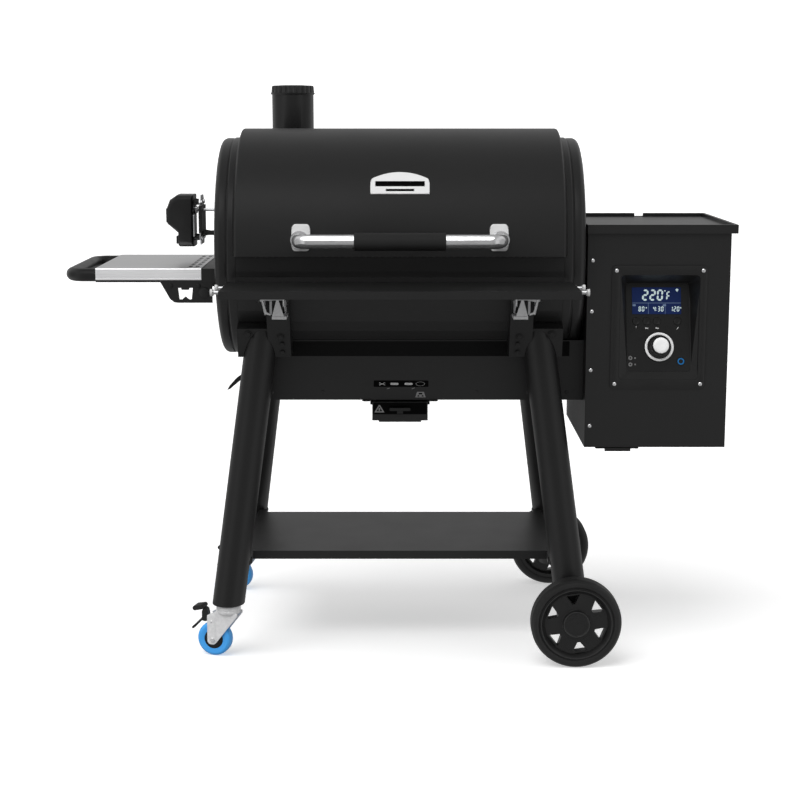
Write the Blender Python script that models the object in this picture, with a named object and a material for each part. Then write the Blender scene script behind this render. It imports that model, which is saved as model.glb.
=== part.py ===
"""Pellet smoker grill: a horizontal barrel on four splayed legs, with a pellet hopper and controller at its right
end, a rotisserie motor and a side shelf at its left end, a fold-down front shelf, two wheels and two casters.

Metres, +Z up, -Y is the front. The sizes are counted from the middle of the barrel: x along the barrel, y from the
barrel's axis, z from the floor. The empty grill_frame moves the whole grill so that its outline is centred on Z.
"""

from math import atan2, cos, pi, radians, sin, sqrt

import bmesh
import bpy
from mathutils import Matrix, Vector

FRAME_SHIFT = (0.0040, 0.051, 0.0)  # from the barrel's middle to the middle of the outline
GAP = 0.0003  # between solids that touch
SHEET = 0.002  # sheet steel
PLATE = 0.003  # bracket plate
ROUND = 32  # sides of large round pieces
SMALL_ROUND = 12  # sides of small round pieces

# Barrel
BARREL_Z = 0.935
BODY_R = 0.260
BODY_HALF = 0.3697
BODY_REAR_EDGE = 128.0  # degrees from the front, over the top
BODY_FRONT_EDGE = 359.0
LID_R = 0.278
LID_HALF = 0.372
LID_REAR_EDGE = 125.0
CAP_START = 0.3703
CAP_END = 0.424
CLEAR_R = BODY_R + GAP  # what is cut to fit the barrel
HINGE_Y = 0.170
HINGE_Z = 1.170
HINGE_PIN_R = 0.004
GRID_Z = 0.898

# Chimney
CHIMNEY_X = -0.270
CHIMNEY_Y = 0.262
CHIMNEY_R = 0.0525
CHIMNEY_TOP = 1.300
CROWN_TOP = 1.317

# Legs, wheels and casters
LEG_R = 0.0375
LEG_SIDES = 24
LEG_TOP_X = 0.3150
LEG_TOP_Y = 0.197
LEG_TOP_Z = 0.760
LEG_SPLAY_X = 0.132
LEG_SPLAY_Y = 0.1127
CASTER_LEG_END = 0.1255
WHEEL_LEG_END = 0.075
WHEEL_R = 0.1035
WHEEL_X = 0.402
WHEEL_INNER_Y = 0.3145
WHEEL_OUTER_Y = 0.362
AXLE_R = 0.006
CASTER_R = 0.0405
CASTER_WIDTH = 0.028
CASTER_TRAIL = 0.034
CASTER_YAW = radians(165.0)

# Bottom shelf
SHELF_Z = 0.231
SHELF_X = 0.347
SHELF_Y = 0.191

# Lower housing and drawer
HOUSING_LEFT = -0.340
HOUSING_RIGHT = 0.4277
HOUSING_Y = 0.158
HOUSING_Z = 0.587
DRAWER_X = 0.065
DRAWER_BOTTOM = 0.536

# Auger, fire pot and fan
AUGER_Z = 0.638
AUGER_TUBE_R = 0.030
AUGER_START = 0.060
AUGER_END = 0.585
POT_R = 0.055
FAN_X = 0.640
FAN_Z = 0.545

# Hopper
HOPPER_LEFT = 0.428
HOPPER_RIGHT = 0.7545
HOPPER_Y = 0.207
HOPPER_Z = 0.484
HOPPER_TOP = 0.9885
HOPPER_LID_BOTTOM = 0.980
HOPPER_LID_TOP = 1.000
HOPPER_HINGE_Y = 0.2165
HOPPER_HINGE_Z = 0.974
HOPPER_KNUCKLES = (0.470, 0.690)
INLET_X = (0.694, 0.726)
INLET_Z = (0.512, 0.536)

# Controller
BEZEL_X = (0.484, 0.703)
BEZEL_Z = (0.621, 0.907)
WINDOW_X = (0.505, 0.686)
WINDOW_Z = (0.644, 0.885)
PANEL_X = (0.524, 0.670)
PANEL_Z = (0.661, 0.861)
PANEL_BOTTOM_Y = -0.202
PANEL_TOP_Y = -0.147
PANEL_TILT = atan2(PANEL_TOP_Y - PANEL_BOTTOM_Y, PANEL_Z[1] - PANEL_Z[0])
BUTTON_R = 0.009
BUTTON_XS = (0.547, 0.571, 0.595, 0.6425)
BUTTON_UP = 0.117
KNOB_X = 0.599
KNOB_UP = 0.057
POWER_X = 0.6487
POWER_UP = 0.0236

# Front shelf
FRONT_SHELF_X = 0.388
FRONT_SHELF_Y = (-0.464, -0.268)
FRONT_SHELF_Z = 0.875
FRONT_LIP = 0.017
FOLD_Y = -0.335
FOLD_Z = 0.845
PEG_YS = (-0.418, -0.328)
SHELF_HINGE_X = (0.256, 0.306)

# Side shelf
SIDE_LEFT = -0.700
SIDE_RIGHT = -0.457
SIDE_Y = 0.182
SIDE_TOP = 0.898
SIDE_FACE = 0.027
HANDLE_LEFT = -0.7755

# Rotisserie
MOTOR_X = (-0.555, -0.490)
SPIT_Z = 1.021
BRACKET_X = (-0.476, -0.473)

# Colour, roughness and metallic value of each finish
LOOKS = {
    "black_paint": ((0.022, 0.022, 0.023), 0.45, 0.0),
    "steel": ((0.62, 0.62, 0.63), 0.28, 1.0),
    "zinc": ((0.72, 0.73, 0.75), 0.35, 1.0),
    "bare_steel": ((0.35, 0.35, 0.36), 0.45, 1.0),
    "black_plastic": ((0.018, 0.018, 0.018), 0.5, 0.0),
    "blue_tyre": ((0.10, 0.38, 0.80), 0.45, 0.0),
    "screen": ((0.02, 0.05, 0.14), 0.15, 0.0),
    "iron": ((0.03, 0.03, 0.03), 0.7, 0.2),
}


def clear_scene():
    for obj in list(bpy.data.objects):
        bpy.data.objects.remove(obj)


def make_frame():
    frame = bpy.data.objects.new("grill_frame", None)
    frame.location = FRAME_SHIFT
    bpy.context.scene.collection.objects.link(frame)
    return frame


def solid(vertices, faces):
    """An object from vertices and faces, with its faces pointing out."""
    mesh = bpy.data.meshes.new("solid")
    mesh.from_pydata(vertices, [], faces)
    work = bmesh.new()
    work.from_mesh(mesh)
    bmesh.ops.recalc_face_normals(work, faces=work.faces)
    work.to_mesh(mesh)
    work.free()
    obj = bpy.data.objects.new("solid", mesh)
    bpy.context.scene.collection.objects.link(obj)
    return obj


def finish(obj, name, look, pivot=(0.0, 0.0, 0.0)):
    """Names a solid, puts its origin on the pivot, shades it and gives it its own material."""
    obj.name = name
    obj.data.name = name
    obj.data.transform(Matrix.Translation(-Vector(pivot)))
    obj.location = pivot
    obj.parent = bpy.data.objects["grill_frame"]
    colour, roughness, metallic = LOOKS[look]
    material = bpy.data.materials.new(name)
    material.use_nodes = True
    shader = material.node_tree.nodes["Principled BSDF"]
    shader.inputs["Base Color"].default_value = (*colour, 1.0)
    shader.inputs["Roughness"].default_value = roughness
    shader.inputs["Metallic"].default_value = metallic
    obj.data.materials.clear()
    obj.data.materials.append(material)
    obj.data.shade_smooth()
    obj.data.set_sharp_from_angle(angle=radians(30.0))
    return obj


def combine(target, tool, operation):
    """Applies one Boolean to the target and removes the tool."""
    modifier = target.modifiers.new("combine", "BOOLEAN")
    modifier.operation = operation
    modifier.solver = "EXACT"
    modifier.object = tool
    graph = bpy.context.evaluated_depsgraph_get()
    mesh = bpy.data.meshes.new_from_object(target.evaluated_get(graph))
    target.modifiers.clear()
    target.data = mesh
    bpy.data.objects.remove(tool)


def cut(target, *tools):
    for tool in tools:
        combine(target, tool, "DIFFERENCE")
    return target


def join(target, *tools):
    for tool in tools:
        combine(target, tool, "UNION")
    return target


def box(x, y, z):
    """A box from three (low, high) pairs."""
    corners = [(a, b, c) for a in x for b in y for c in z]
    faces = [(0, 1, 3, 2), (4, 6, 7, 5), (0, 4, 5, 1), (2, 3, 7, 6), (0, 2, 6, 4), (1, 5, 7, 3)]
    return solid(corners, faces)


def mirrored(low, high, side):
    """The pair (low, high) on the positive side, or its mirror on the negative side."""
    return (low, high) if side > 0 else (-high, -low)


def on_axis(axis, along, first, second):
    """A point from its place along an axis and its two other coordinates, in X, Y, Z order."""
    if axis == "X":
        return (along, first, second)
    if axis == "Y":
        return (first, along, second)
    return (first, second, along)


def prism(outline, axis, low, high):
    """A closed outline, given in the two other axes in X, Y, Z order, drawn along an axis."""
    count = len(outline)
    vertices = [on_axis(axis, at, *point) for at in (low, high) for point in outline]
    faces = [(i, (i + 1) % count, (i + 1) % count + count, i + count) for i in range(count)]
    faces.append(tuple(range(count)))
    faces.append(tuple(range(count, 2 * count)))
    return solid(vertices, faces)


def rings_to_solid(rings):
    """A closed solid from rings of equal length, or single points where it meets its axis."""
    vertices = [point for ring in rings for point in ring]
    starts = [sum(len(ring) for ring in rings[:i]) for i in range(len(rings))]
    faces = []
    for i, ring in enumerate(rings):
        follower = (i + 1) % len(rings)
        other = rings[follower]
        count = max(len(ring), len(other))
        if count == 1:
            continue
        for k in range(count):
            n = (k + 1) % count
            a = starts[i] + (k if len(ring) > 1 else 0)
            b = starts[i] + (n if len(ring) > 1 else 0)
            c = starts[follower] + (n if len(other) > 1 else 0)
            d = starts[follower] + (k if len(other) > 1 else 0)
            faces.append(tuple(dict.fromkeys((a, b, c, d))))
    return solid(vertices, faces)


def turned(profile, axis, centre, sides, shear=(0.0, 0.0)):
    """A closed profile of (radius, distance along the axis), turned about the axis through the centre.

    shear moves the centre sideways in the two other axes for each metre along the axis.
    """
    rings = []
    for radius, along in profile:
        first = centre[0] + shear[0] * along
        second = centre[1] + shear[1] * along
        if radius == 0.0:
            rings.append([on_axis(axis, along, first, second)])
            continue
        angles = [2.0 * pi * (k + 0.5) / sides for k in range(sides)]
        rings.append([on_axis(axis, along, first + radius * cos(a), second + radius * sin(a)) for a in angles])
    return rings_to_solid(rings)


def rod(radius, axis, centre, low, high, sides=SMALL_ROUND):
    """A plain cylinder along an axis."""
    return turned([(0.0, low), (radius, low), (radius, high), (0.0, high)], axis, centre, sides)


def barrel_point(x, radius, degrees):
    """A point around the barrel's axis: 0 degrees is the front, 90 the top, 180 the rear."""
    angle = radians(degrees)
    return (x, -radius * cos(angle), BARREL_Z + radius * sin(angle))


def wrapped(profile, start, end, steps):
    """A closed profile of (x, radius), drawn around the barrel's axis from one angle to another."""
    count = len(profile)
    angles = [start + (end - start) * k / steps for k in range(steps + 1)]
    vertices = [barrel_point(x, radius, angle) for angle in angles for x, radius in profile]
    faces = []
    for k in range(steps):
        for i in range(count):
            n = (i + 1) % count
            faces.append((k * count + i, k * count + n, (k + 1) * count + n, (k + 1) * count + i))
    faces.append(tuple(range(count)))
    faces.append(tuple(range(steps * count, (steps + 1) * count)))
    return solid(vertices, faces)


def barrel_tool(half=0.6):
    """The space that the barrel takes, for cutting what fits against it."""
    return rod(CLEAR_R / cos(pi / 64), "X", (0.0, BARREL_Z), -half, half, 64)


def rounded(x, z, radius, steps=3):
    """A rectangle with round corners, from (low, high) pairs, as (x, z) points."""
    points = []
    corners = [(x[1], z[1], 0.0), (x[0], z[1], 90.0), (x[0], z[0], 180.0), (x[1], z[0], 270.0)]
    for corner_x, corner_z, start in corners:
        centre_x = corner_x - radius if corner_x == x[1] else corner_x + radius
        centre_z = corner_z - radius if corner_z == z[1] else corner_z + radius
        for k in range(steps + 1):
            angle = radians(start + 90.0 * k / steps)
            points.append((centre_x + radius * cos(angle), centre_z + radius * sin(angle)))
    return points


def strip(path, thickness):
    """A closed outline for sheet that follows a path of (y, z) points, thickness on the path's left side."""
    normals = []
    for (y0, z0), (y1, z1) in zip(path, path[1:]):
        length = sqrt((y1 - y0) ** 2 + (z1 - z0) ** 2)
        normals.append(Vector((-(z1 - z0) / length, (y1 - y0) / length)))
    offset = []
    for i, point in enumerate(path):
        before = normals[max(i - 1, 0)]
        after = normals[min(i, len(normals) - 1)]
        middle = (before + after).normalized()
        offset.append(tuple(Vector(point) + middle * thickness / middle.dot(before)))
    return list(path) + offset[::-1]


def pipe(points, radius, sides):
    """A round bar through a list of points, with flat ends."""
    path = [Vector(point) for point in points]
    rings = [[tuple(path[0])]]
    side = None
    for i, point in enumerate(path):
        direction = (path[min(i + 1, len(path) - 1)] - path[max(i - 1, 0)]).normalized()
        if side is None:
            side = direction.orthogonal().normalized()
        side = (side - direction * side.dot(direction)).normalized()
        other = direction.cross(side)
        angles = [2.0 * pi * k / sides for k in range(sides)]
        rings.append([tuple(point + radius * (side * cos(a) + other * sin(a))) for a in angles])
    rings.append([tuple(path[-1])])
    return rings_to_solid(rings)


# Barrel, lid and what is inside


def make_barrel_body():
    profile = [(-BODY_HALF, BODY_R), (BODY_HALF, BODY_R), (BODY_HALF, BODY_R - SHEET), (-BODY_HALF, BODY_R - SHEET)]
    body = wrapped(profile, BODY_REAR_EDGE, BODY_FRONT_EDGE, 32)
    ledge_top = GRID_Z - GAP
    for side in (-1, 1):
        join(body, box((-0.350, 0.350), mirrored(0.236, 0.2562, side), (ledge_top - SHEET, ledge_top)))
    join(body, box((-0.345, 0.345), (0.196, 0.2290), (1.055, 1.055 + SHEET)))
    cut(body, rod(POT_R + 0.002, "Z", (0.0, 0.0), 0.60, 0.75, 20))
    cut(body, rod(CHIMNEY_R - 0.0075, "Z", (CHIMNEY_X, CHIMNEY_Y), 0.990, 1.2, 16))
    for x in (-0.335, 0.0, 0.331):
        lug = [(0.1535, 1.130), (0.1800, 1.115), (0.1800, 1.172), (0.1660, 1.172)]
        join(body, prism(lug, "X", x, x + 0.004))
    join(body, rod(HINGE_PIN_R, "X", (HINGE_Y, HINGE_Z), -0.336, 0.336, 8))
    finish(body, "barrel_body", "black_paint")


def make_end_cap(name, side):
    outer = [
        (0.0, CAP_END), (0.240, 0.4200), (0.248, 0.4180), (0.253, 0.4140), (0.2555, 0.4070), (0.2555, 0.3930),
        (0.257, 0.3900), (0.257, CAP_START),
    ]
    inner = [
        (0.255, CAP_START), (0.255, 0.3890), (0.2535, 0.3920), (0.2535, 0.4065), (0.2515, 0.4125), (0.247, 0.4160),
        (0.2395, 0.4180), (0.0, 0.4220),
    ]
    profile = [(radius, side * along) for radius, along in outer + inner]
    finish(turned(profile, "X", (0.0, BARREL_Z), ROUND), name, "black_paint")


def make_lid():
    edge_r = 0.2595
    edge_x = 0.377
    outer = [(-edge_x, edge_r), (-LID_HALF, LID_R), (LID_HALF, LID_R), (edge_x, edge_r)]
    inner_r = LID_R - SHEET
    inner = [(edge_x - SHEET, edge_r), (LID_HALF - SHEET, inner_r), (SHEET - LID_HALF, inner_r), (SHEET - edge_x, edge_r)]
    lid = wrapped(outer + inner, 0.0, LID_REAR_EDGE, 22)
    for x in (-0.320, 0.312):
        knuckle = [(0.1505, 1.1668), (0.1600, 1.1606), (0.1790, 1.1650), (0.1790, 1.1770), (0.1640, 1.1790)]
        leaf = prism(knuckle, "X", x, x + 0.010)
        cut(leaf, rod(HINGE_PIN_R + 0.0006, "X", (HINGE_Y, HINGE_Z), x - 0.01, x + 0.02, 8))
        join(lid, leaf)
    finish(lid, "lid", "black_paint", (0.0, HINGE_Y, HINGE_Z))


def make_lid_handle():
    """A round tube with its ends bent back to the lid, and a grip around its middle."""
    bar_y, bar_z, end_x, bend = -0.338, 0.971, 0.224, 0.022
    base_y = -0.2775
    half = [(end_x, base_y, bar_z)]
    for k in range(5):
        angle = radians(90.0 * k / 4)
        half.append((end_x - bend + bend * cos(angle), bar_y + bend - bend * sin(angle), bar_z))
    path = half + [(-x, y, z) for x, y, z in half[::-1]]
    pivot = (0.0, HINGE_Y, HINGE_Z)
    finish(pipe(path, 0.016, 12), "lid_handle", "steel", pivot)
    grip = turned(
        [(0.0168, -0.101), (0.018, -0.101), (0.020, -0.098), (0.020, 0.098), (0.018, 0.101), (0.0168, 0.101)],
        "X", (bar_y, bar_z), 16,
    )
    finish(grip, "handle_grip", "black_plastic", pivot)


def make_grid(name, left, right):
    """A cooking grid: a frame with bars from front to back, thick enough to lift as one plate."""
    grid = box((left, right), (-0.236, 0.236), (GRID_Z, GRID_Z + 0.006))
    count = 9
    pitch = (right - left - 0.012) / count
    for k in range(count):
        start = left + 0.006 + k * pitch + 0.005
        cut(grid, box((start, start + pitch - 0.010), (-0.224, 0.224), (GRID_Z - 0.01, GRID_Z + 0.02)))
    finish(grid, name, "iron")


def make_warming_rack():
    rack = box((-0.340, 0.340), (0.030, 0.214), (1.0573, 1.0633))
    for k in range(6):
        start = 0.040 + k * 0.029
        cut(rack, box((-0.330, 0.330), (start, start + 0.022), (1.05, 1.07)))
    finish(rack, "warming_rack", "steel")


def make_grease_tray():
    """A shallow tray that drains to its low end at the right, over the fire pot and the heat diffuser."""
    tray = box((-0.335, 0.345), (-0.185, 0.185), (0.806, 0.836))
    top = [(-0.333, 0.830), (0.343, 0.812), (0.343, 0.850), (-0.333, 0.850)]
    cut(tray, prism(top, "Y", -0.183, 0.183))
    below = [(-0.40, 0.828), (0.40, 0.8065), (0.40, 0.790), (-0.40, 0.790)]
    cut(tray, prism(below, "Y", -0.20, 0.20))
    finish(tray, "grease_tray", "bare_steel")


def make_fire_pot():
    pot = turned(
        [(0.010, 0.612), (POT_R, 0.612), (POT_R, 0.742), (POT_R - SHEET, 0.742), (POT_R - SHEET, 0.614), (0.010, 0.614)],
        "Z", (0.0, 0.0), 20,
    )
    cut(pot, rod(0.031, "X", (0.0, AUGER_Z + 0.006), 0.03, 0.08))
    finish(pot, "fire_pot", "bare_steel")


def make_heat_diffuser():
    roof = strip([(-0.095, 0.765), (-0.040, 0.792), (0.040, 0.792), (0.095, 0.765)], -PLATE)
    shield = prism(roof, "X", -0.110, 0.110)
    feet = [(-0.060, 0.6848), (-0.035, 0.6848), (-0.035, 0.760), (0.035, 0.760), (0.035, 0.6848), (0.060, 0.6848),
            (0.060, 0.7810), (-0.060, 0.7810)]
    for x in (-0.108, 0.105):
        join(shield, prism(feet, "X", x, x + PLATE))
    finish(shield, "heat_diffuser", "bare_steel")


# Chimney


def make_chimney():
    base = 0.975
    inner = CHIMNEY_R - 0.0015
    pipe_wall = turned(
        [(0.0, base), (CHIMNEY_R, base), (CHIMNEY_R, CHIMNEY_TOP - 0.004), (inner, CHIMNEY_TOP - 0.004),
         (inner, base + 0.0015), (0.0, base + 0.0015)],
        "Z", (CHIMNEY_X, CHIMNEY_Y), 24,
    )
    join(pipe_wall, box((CHIMNEY_X - 0.0517, CHIMNEY_X + 0.0517), (CHIMNEY_Y - 0.006, CHIMNEY_Y + 0.006), (1.24, 1.243)))
    cut(pipe_wall, rod(0.0045, "Z", (CHIMNEY_X, CHIMNEY_Y), 1.20, 1.28, 12))
    cut(pipe_wall, barrel_tool())
    finish(pipe_wall, "chimney_pipe", "black_paint")


def make_chimney_cap():
    """The crown over the pipe, on a screw that lets it rise and fall to set the draught."""
    low = CHIMNEY_TOP - 0.003
    crown = turned(
        [(0.0, CROWN_TOP), (0.050, CROWN_TOP), (0.054, CROWN_TOP - 0.004), (0.054, low + 0.003), (0.0555, low + 0.003),
         (0.0555, low), (0.0532, low), (0.0532, CROWN_TOP - 0.005), (0.0035, CROWN_TOP - 0.005), (0.0035, 1.205),
         (0.0, 1.205)],
        "Z", (CHIMNEY_X, CHIMNEY_Y), 24,
    )
    finish(crown, "chimney_cap", "black_paint", (CHIMNEY_X, CHIMNEY_Y, CHIMNEY_TOP))


# Legs, brackets, wheels


def leg_centre(side_x, side_y, z):
    drop = LEG_TOP_Z - z
    return (side_x * (LEG_TOP_X + LEG_SPLAY_X * drop), side_y * (LEG_TOP_Y + LEG_SPLAY_Y * drop))


def leg_tool(side_x, side_y, radius):
    """The space that a leg takes, for cutting what fits around it."""
    centre = leg_centre(side_x, side_y, 0.0)
    shear = (-side_x * LEG_SPLAY_X, -side_y * LEG_SPLAY_Y)
    top = LEG_TOP_Z + GAP
    return turned([(0.0, 0.02), (radius, 0.02), (radius, top), (0.0, top)], "Z", centre, LEG_SIDES, shear)


def make_leg(name, side_x, side_y):
    end = WHEEL_LEG_END if side_x > 0 else CASTER_LEG_END
    inner = LEG_R - SHEET
    hole = 0.0065
    profile = [(hole, end), (LEG_R, end), (LEG_R, LEG_TOP_Z), (inner, LEG_TOP_Z), (inner, end + PLATE), (hole, end + PLATE)]
    shear = (-side_x * LEG_SPLAY_X, -side_y * LEG_SPLAY_Y)
    leg = turned(profile, "Z", leg_centre(side_x, side_y, 0.0), LEG_SIDES, shear)
    if side_x > 0:
        near, far = mirrored(0.272, WHEEL_INNER_Y + 0.034, side_y)
        join(leg, rod(AXLE_R, "Y", (WHEEL_X, WHEEL_R), near, far, SMALL_ROUND))
    cut(leg, barrel_tool())
    finish(leg, name, "black_paint")


def make_front_bracket(name, side):
    """A folded bracket under the barrel: it holds a front leg's top and carries the front shelf's hinge."""
    rear = -HOUSING_Y - GAP
    tall = strip([(-0.2623, 0.8722), (-0.2623, 0.800), (-0.2150, 0.697)], PLATE)
    bracket = prism(tall, "X", *mirrored(0.250, 0.302, side))
    low = strip([(-0.2050, 0.7765), (-0.2360, 0.7650), (-0.2150, 0.697)], PLATE)
    join(bracket, prism(low, "X", *mirrored(0.300, 0.372, side)))
    for x, end in ((0.250, rear), (0.299, -0.2145)):
        web = [(-0.2618, 0.8718), (-0.2618, 0.800), (-0.2145, 0.6975), (end, 0.6975), (end, 0.8718)]
        join(bracket, prism(web, "X", *mirrored(x, x + PLATE, side)))
    low_web = [(-0.200, 0.776), (-0.2355, 0.7648), (-0.2148, 0.6975), (rear, 0.6975), (rear, 0.776)]
    join(bracket, prism(low_web, "X", *mirrored(0.369, 0.372, side)))
    cut(bracket, barrel_tool(), leg_tool(side, -1, LEG_R + 0.0012))
    finish(bracket, name, "black_paint")


def make_rear_bracket(name, side):
    """The plain saddle that holds a rear leg's top to the barrel."""
    low = strip([(0.2150, 0.697), (0.2360, 0.7650), (0.2050, 0.7765)], PLATE)
    bracket = prism(low, "X", *mirrored(0.262, 0.372, side))
    near = HOUSING_Y + GAP
    web = [(0.200, 0.776), (0.2355, 0.7648), (0.2148, 0.6975), (near, 0.6975), (near, 0.776)]
    for x in (0.262, 0.369):
        join(bracket, prism(web, "X", *mirrored(x, x + PLATE, side)))
    cut(bracket, barrel_tool(), leg_tool(side, 1, LEG_R + 0.0012))
    finish(bracket, name, "black_paint")


def make_bottom_shelf():
    """A tray turned down at its edges, on two rails that run from front leg to rear leg."""
    top = SHELF_Z
    shelf = box((-SHELF_X, SHELF_X), (-SHELF_Y, SHELF_Y), (top - 0.020, top))
    under = (top - 0.03, top - SHEET)
    cut(shelf, box((SHEET - SHELF_X, SHELF_X - SHEET), (SHEET - SHELF_Y, SHELF_Y - SHEET), under))
    for side in (-1, 1):
        join(shelf, box(mirrored(SHELF_X - 0.001, SHELF_X + 0.021, side), (-0.235, 0.235), (top - 0.019, top - 0.003)))
        for side_y in (-1, 1):
            cut(shelf, leg_tool(side, side_y, LEG_R + GAP))
    finish(shelf, "bottom_shelf", "black_paint")


def make_wheel(name, side):
    """A wheel with a tread, a rim, a hub cap and six windows; side is its side of the grill in Y."""
    near, far = WHEEL_INNER_Y, WHEEL_OUTER_Y
    bore = AXLE_R + 0.0005
    tread = WHEEL_R / cos(pi / ROUND)  # so that a flat between two corners stands on the floor
    profile = [
        (bore, near), (0.030, near), (0.031, near + 0.012), (0.0725, near + 0.012), (0.0755, near), (0.0955, near),
        (tread, near + 0.010), (tread, far - 0.010), (0.0955, far), (0.0755, far - 0.002), (0.0725, far - 0.014),
        (0.034, far - 0.014), (0.032, far), (0.0, far), (0.0, near + 0.036), (bore, near + 0.036),
    ]
    wheel = turned([(radius, side * along) for radius, along in profile], "Y", (WHEEL_X, WHEEL_R), ROUND)
    for k in range(6):
        middle = radians(38.0 + 60.0 * k)
        window = []
        for radius, spread in ((0.0455, 4.0), (0.0683, 14.0), (0.0683, -14.0), (0.0455, -4.0)):
            angle = middle + radians(spread)
            window.append((WHEEL_X + radius * cos(angle), WHEEL_R + radius * sin(angle)))
        cut(wheel, prism(window, "Y", *mirrored(near - 0.01, far + 0.01, side)))
    finish(wheel, name, "black_plastic", (WHEEL_X, side * near, WHEEL_R))


def caster_place(side_y):
    """Turns and moves what is built around a swivel axis at the origin, trailing to +X."""
    return Matrix.Translation((*leg_centre(-1, side_y, CASTER_LEG_END), 0.0)) @ Matrix.Rotation(CASTER_YAW, 4, "Z")


def make_caster(side_y, label):
    """A swivel fork, its wheel and its brake pedal."""
    place = caster_place(side_y)
    swivel = tuple(place @ Vector((0.0, 0.0, 0.115)))
    axle = tuple(place @ Vector((CASTER_TRAIL, 0.0, CASTER_R)))
    head = turned(
        [(0.0, 0.104), (0.0265, 0.104), (0.0285, 0.1115), (0.0285, 0.1235), (0.026, 0.1252),
         (0.005, 0.1252), (0.005, 0.1365), (0.0, 0.1365)],
        "Z", (0.0, 0.0), 16,
    )
    cheek = [(-0.024, 0.108), (0.030, 0.108), (0.047, 0.100), (0.047, 0.039), (0.044, 0.0315), (0.036, 0.0285),
             (0.028, 0.0295), (0.021, 0.037)]
    for y in (-0.0190, 0.0165):
        join(head, prism(cheek, "Y", y, y + 0.0025))
    join(head, rod(0.004, "Y", (CASTER_TRAIL, CASTER_R), -0.018, 0.018, 8))
    head.data.transform(place)
    finish(head, f"caster_fork_{label}", "zinc", swivel)

    half = CASTER_WIDTH / 2
    sides = 24
    tread = CASTER_R / cos(pi / sides)  # so that a flat between two corners stands on the floor
    wheel = turned(
        [(0.0047, -half), (0.028, -half), (0.034, 0.003 - half), (tread, 0.009 - half), (tread, half - 0.009),
         (0.034, half - 0.003), (0.028, half), (0.0047, half)],
        "Y", (CASTER_TRAIL, CASTER_R), sides,
    )
    wheel.data.transform(place)
    finish(wheel, f"caster_wheel_{label}", "blue_tyre", axle)

    pad = [(0.0480, 0.098), (0.0560, 0.108), (0.0580, 0.121), (0.0700, 0.118), (0.0790, 0.112), (0.0860, 0.103),
           (0.0720, 0.106), (0.0640, 0.102), (0.0660, 0.086), (0.0920, 0.062), (0.0900, 0.059), (0.0600, 0.079),
           (0.0510, 0.080)]
    pedal = prism(pad, "Y", -0.0150, 0.0150)
    pedal.data.transform(place)
    pivot = tuple(place @ Vector((0.0520, 0.0, 0.090)))
    finish(pedal, f"caster_brake_{label}", "black_plastic", pivot)


# Lower housing, drawer, auger


def make_lower_housing():
    """A sheet box under the barrel for the auger, with a hole over the drawer and the drawer's two rails."""
    top = 0.80
    housing = box((HOUSING_LEFT, HOUSING_RIGHT), (-HOUSING_Y, HOUSING_Y), (HOUSING_Z, top))
    inside = (HOUSING_Z + SHEET, top + 0.01)
    cut(housing, box((HOUSING_LEFT + SHEET, HOUSING_RIGHT - SHEET), (SHEET - HOUSING_Y, HOUSING_Y - SHEET), inside))
    cut(housing, barrel_tool())
    cut(housing, rod(AUGER_TUBE_R + GAP, "X", (0.0, AUGER_Z), 0.40, 0.45, 16))
    cut(housing, box((-0.045, 0.045), (-0.090, 0.040), (0.58, 0.60)))
    for side in (-1, 1):
        join(housing, box(mirrored(0.0675, 0.0885, side), (-0.162, 0.055), (0.5845, 0.5872)))
        join(housing, box(mirrored(0.0675, 0.0695, side), (-0.162, 0.055), (0.5765, 0.5870)))
        join(housing, box(mirrored(0.0615, 0.0694, side), (-0.162, 0.055), (0.5765, 0.5785)))
    finish(housing, "lower_housing", "black_paint")


def make_grease_drawer():
    """The bucket for ash and grease: its top edge slides in the rails, and it has a T handle."""
    rest = 0.5788
    drawer = box((-0.060, 0.060), (-0.166, 0.050), (0.539, rest + SHEET))
    join(drawer, box((-0.0670, 0.0670), (-0.155, 0.050), (rest, rest + SHEET)))
    cut(drawer, box((-0.058, 0.058), (-0.164, 0.048), (0.541, rest + 0.01)))
    join(drawer, box((-DRAWER_X, DRAWER_X), (-0.1685, -0.1655), (DRAWER_BOTTOM, 0.5840)))
    join(drawer, box((-0.0045, 0.0045), (-0.1820, -0.1680), (0.558, 0.5725)))
    join(drawer, box((-0.0250, 0.0250), (-0.1840, -0.1800), (0.5645, 0.5725)))
    finish(drawer, "grease_drawer", "black_paint")


def make_auger_tube():
    inner = AUGER_TUBE_R - SHEET
    tube = turned(
        [(AUGER_TUBE_R, AUGER_START), (AUGER_TUBE_R, AUGER_END), (inner, AUGER_END), (inner, AUGER_START)],
        "X", (0.0, AUGER_Z), 16,
    )
    cut(tube, box((0.50, 0.56), (-0.02, 0.02), (AUGER_Z + 0.01, AUGER_Z + 0.05)))
    finish(tube, "auger_tube", "bare_steel")


def make_auger_screw():
    """A shaft with one flight, which carries the pellets from the bin to the fire pot."""
    start, end, turns, per_turn = 0.068, 0.580, 9, 8
    section = [(0.0255, 0.0), (0.003, 0.007), (-0.008, 0.0), (0.003, -0.007)]
    steps = turns * per_turn
    rings = [[(start, 0.0, AUGER_Z)]]
    for k in range(steps + 1):
        angle = 2.0 * pi * k / per_turn
        x = start + (end - start) * k / steps
        ring = []
        for out, across in section:
            y = out * cos(angle) - across * sin(angle)
            z = out * sin(angle) + across * cos(angle)
            ring.append((x, y, AUGER_Z + z))
        rings.append(ring)
    rings.append([(end, 0.0, AUGER_Z)])
    screw = rings_to_solid(rings)
    join(screw, rod(0.005, "X", (0.0, AUGER_Z), 0.570, 0.600, 8))
    finish(screw, "auger_screw", "bare_steel", (start, 0.0, AUGER_Z))


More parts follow.
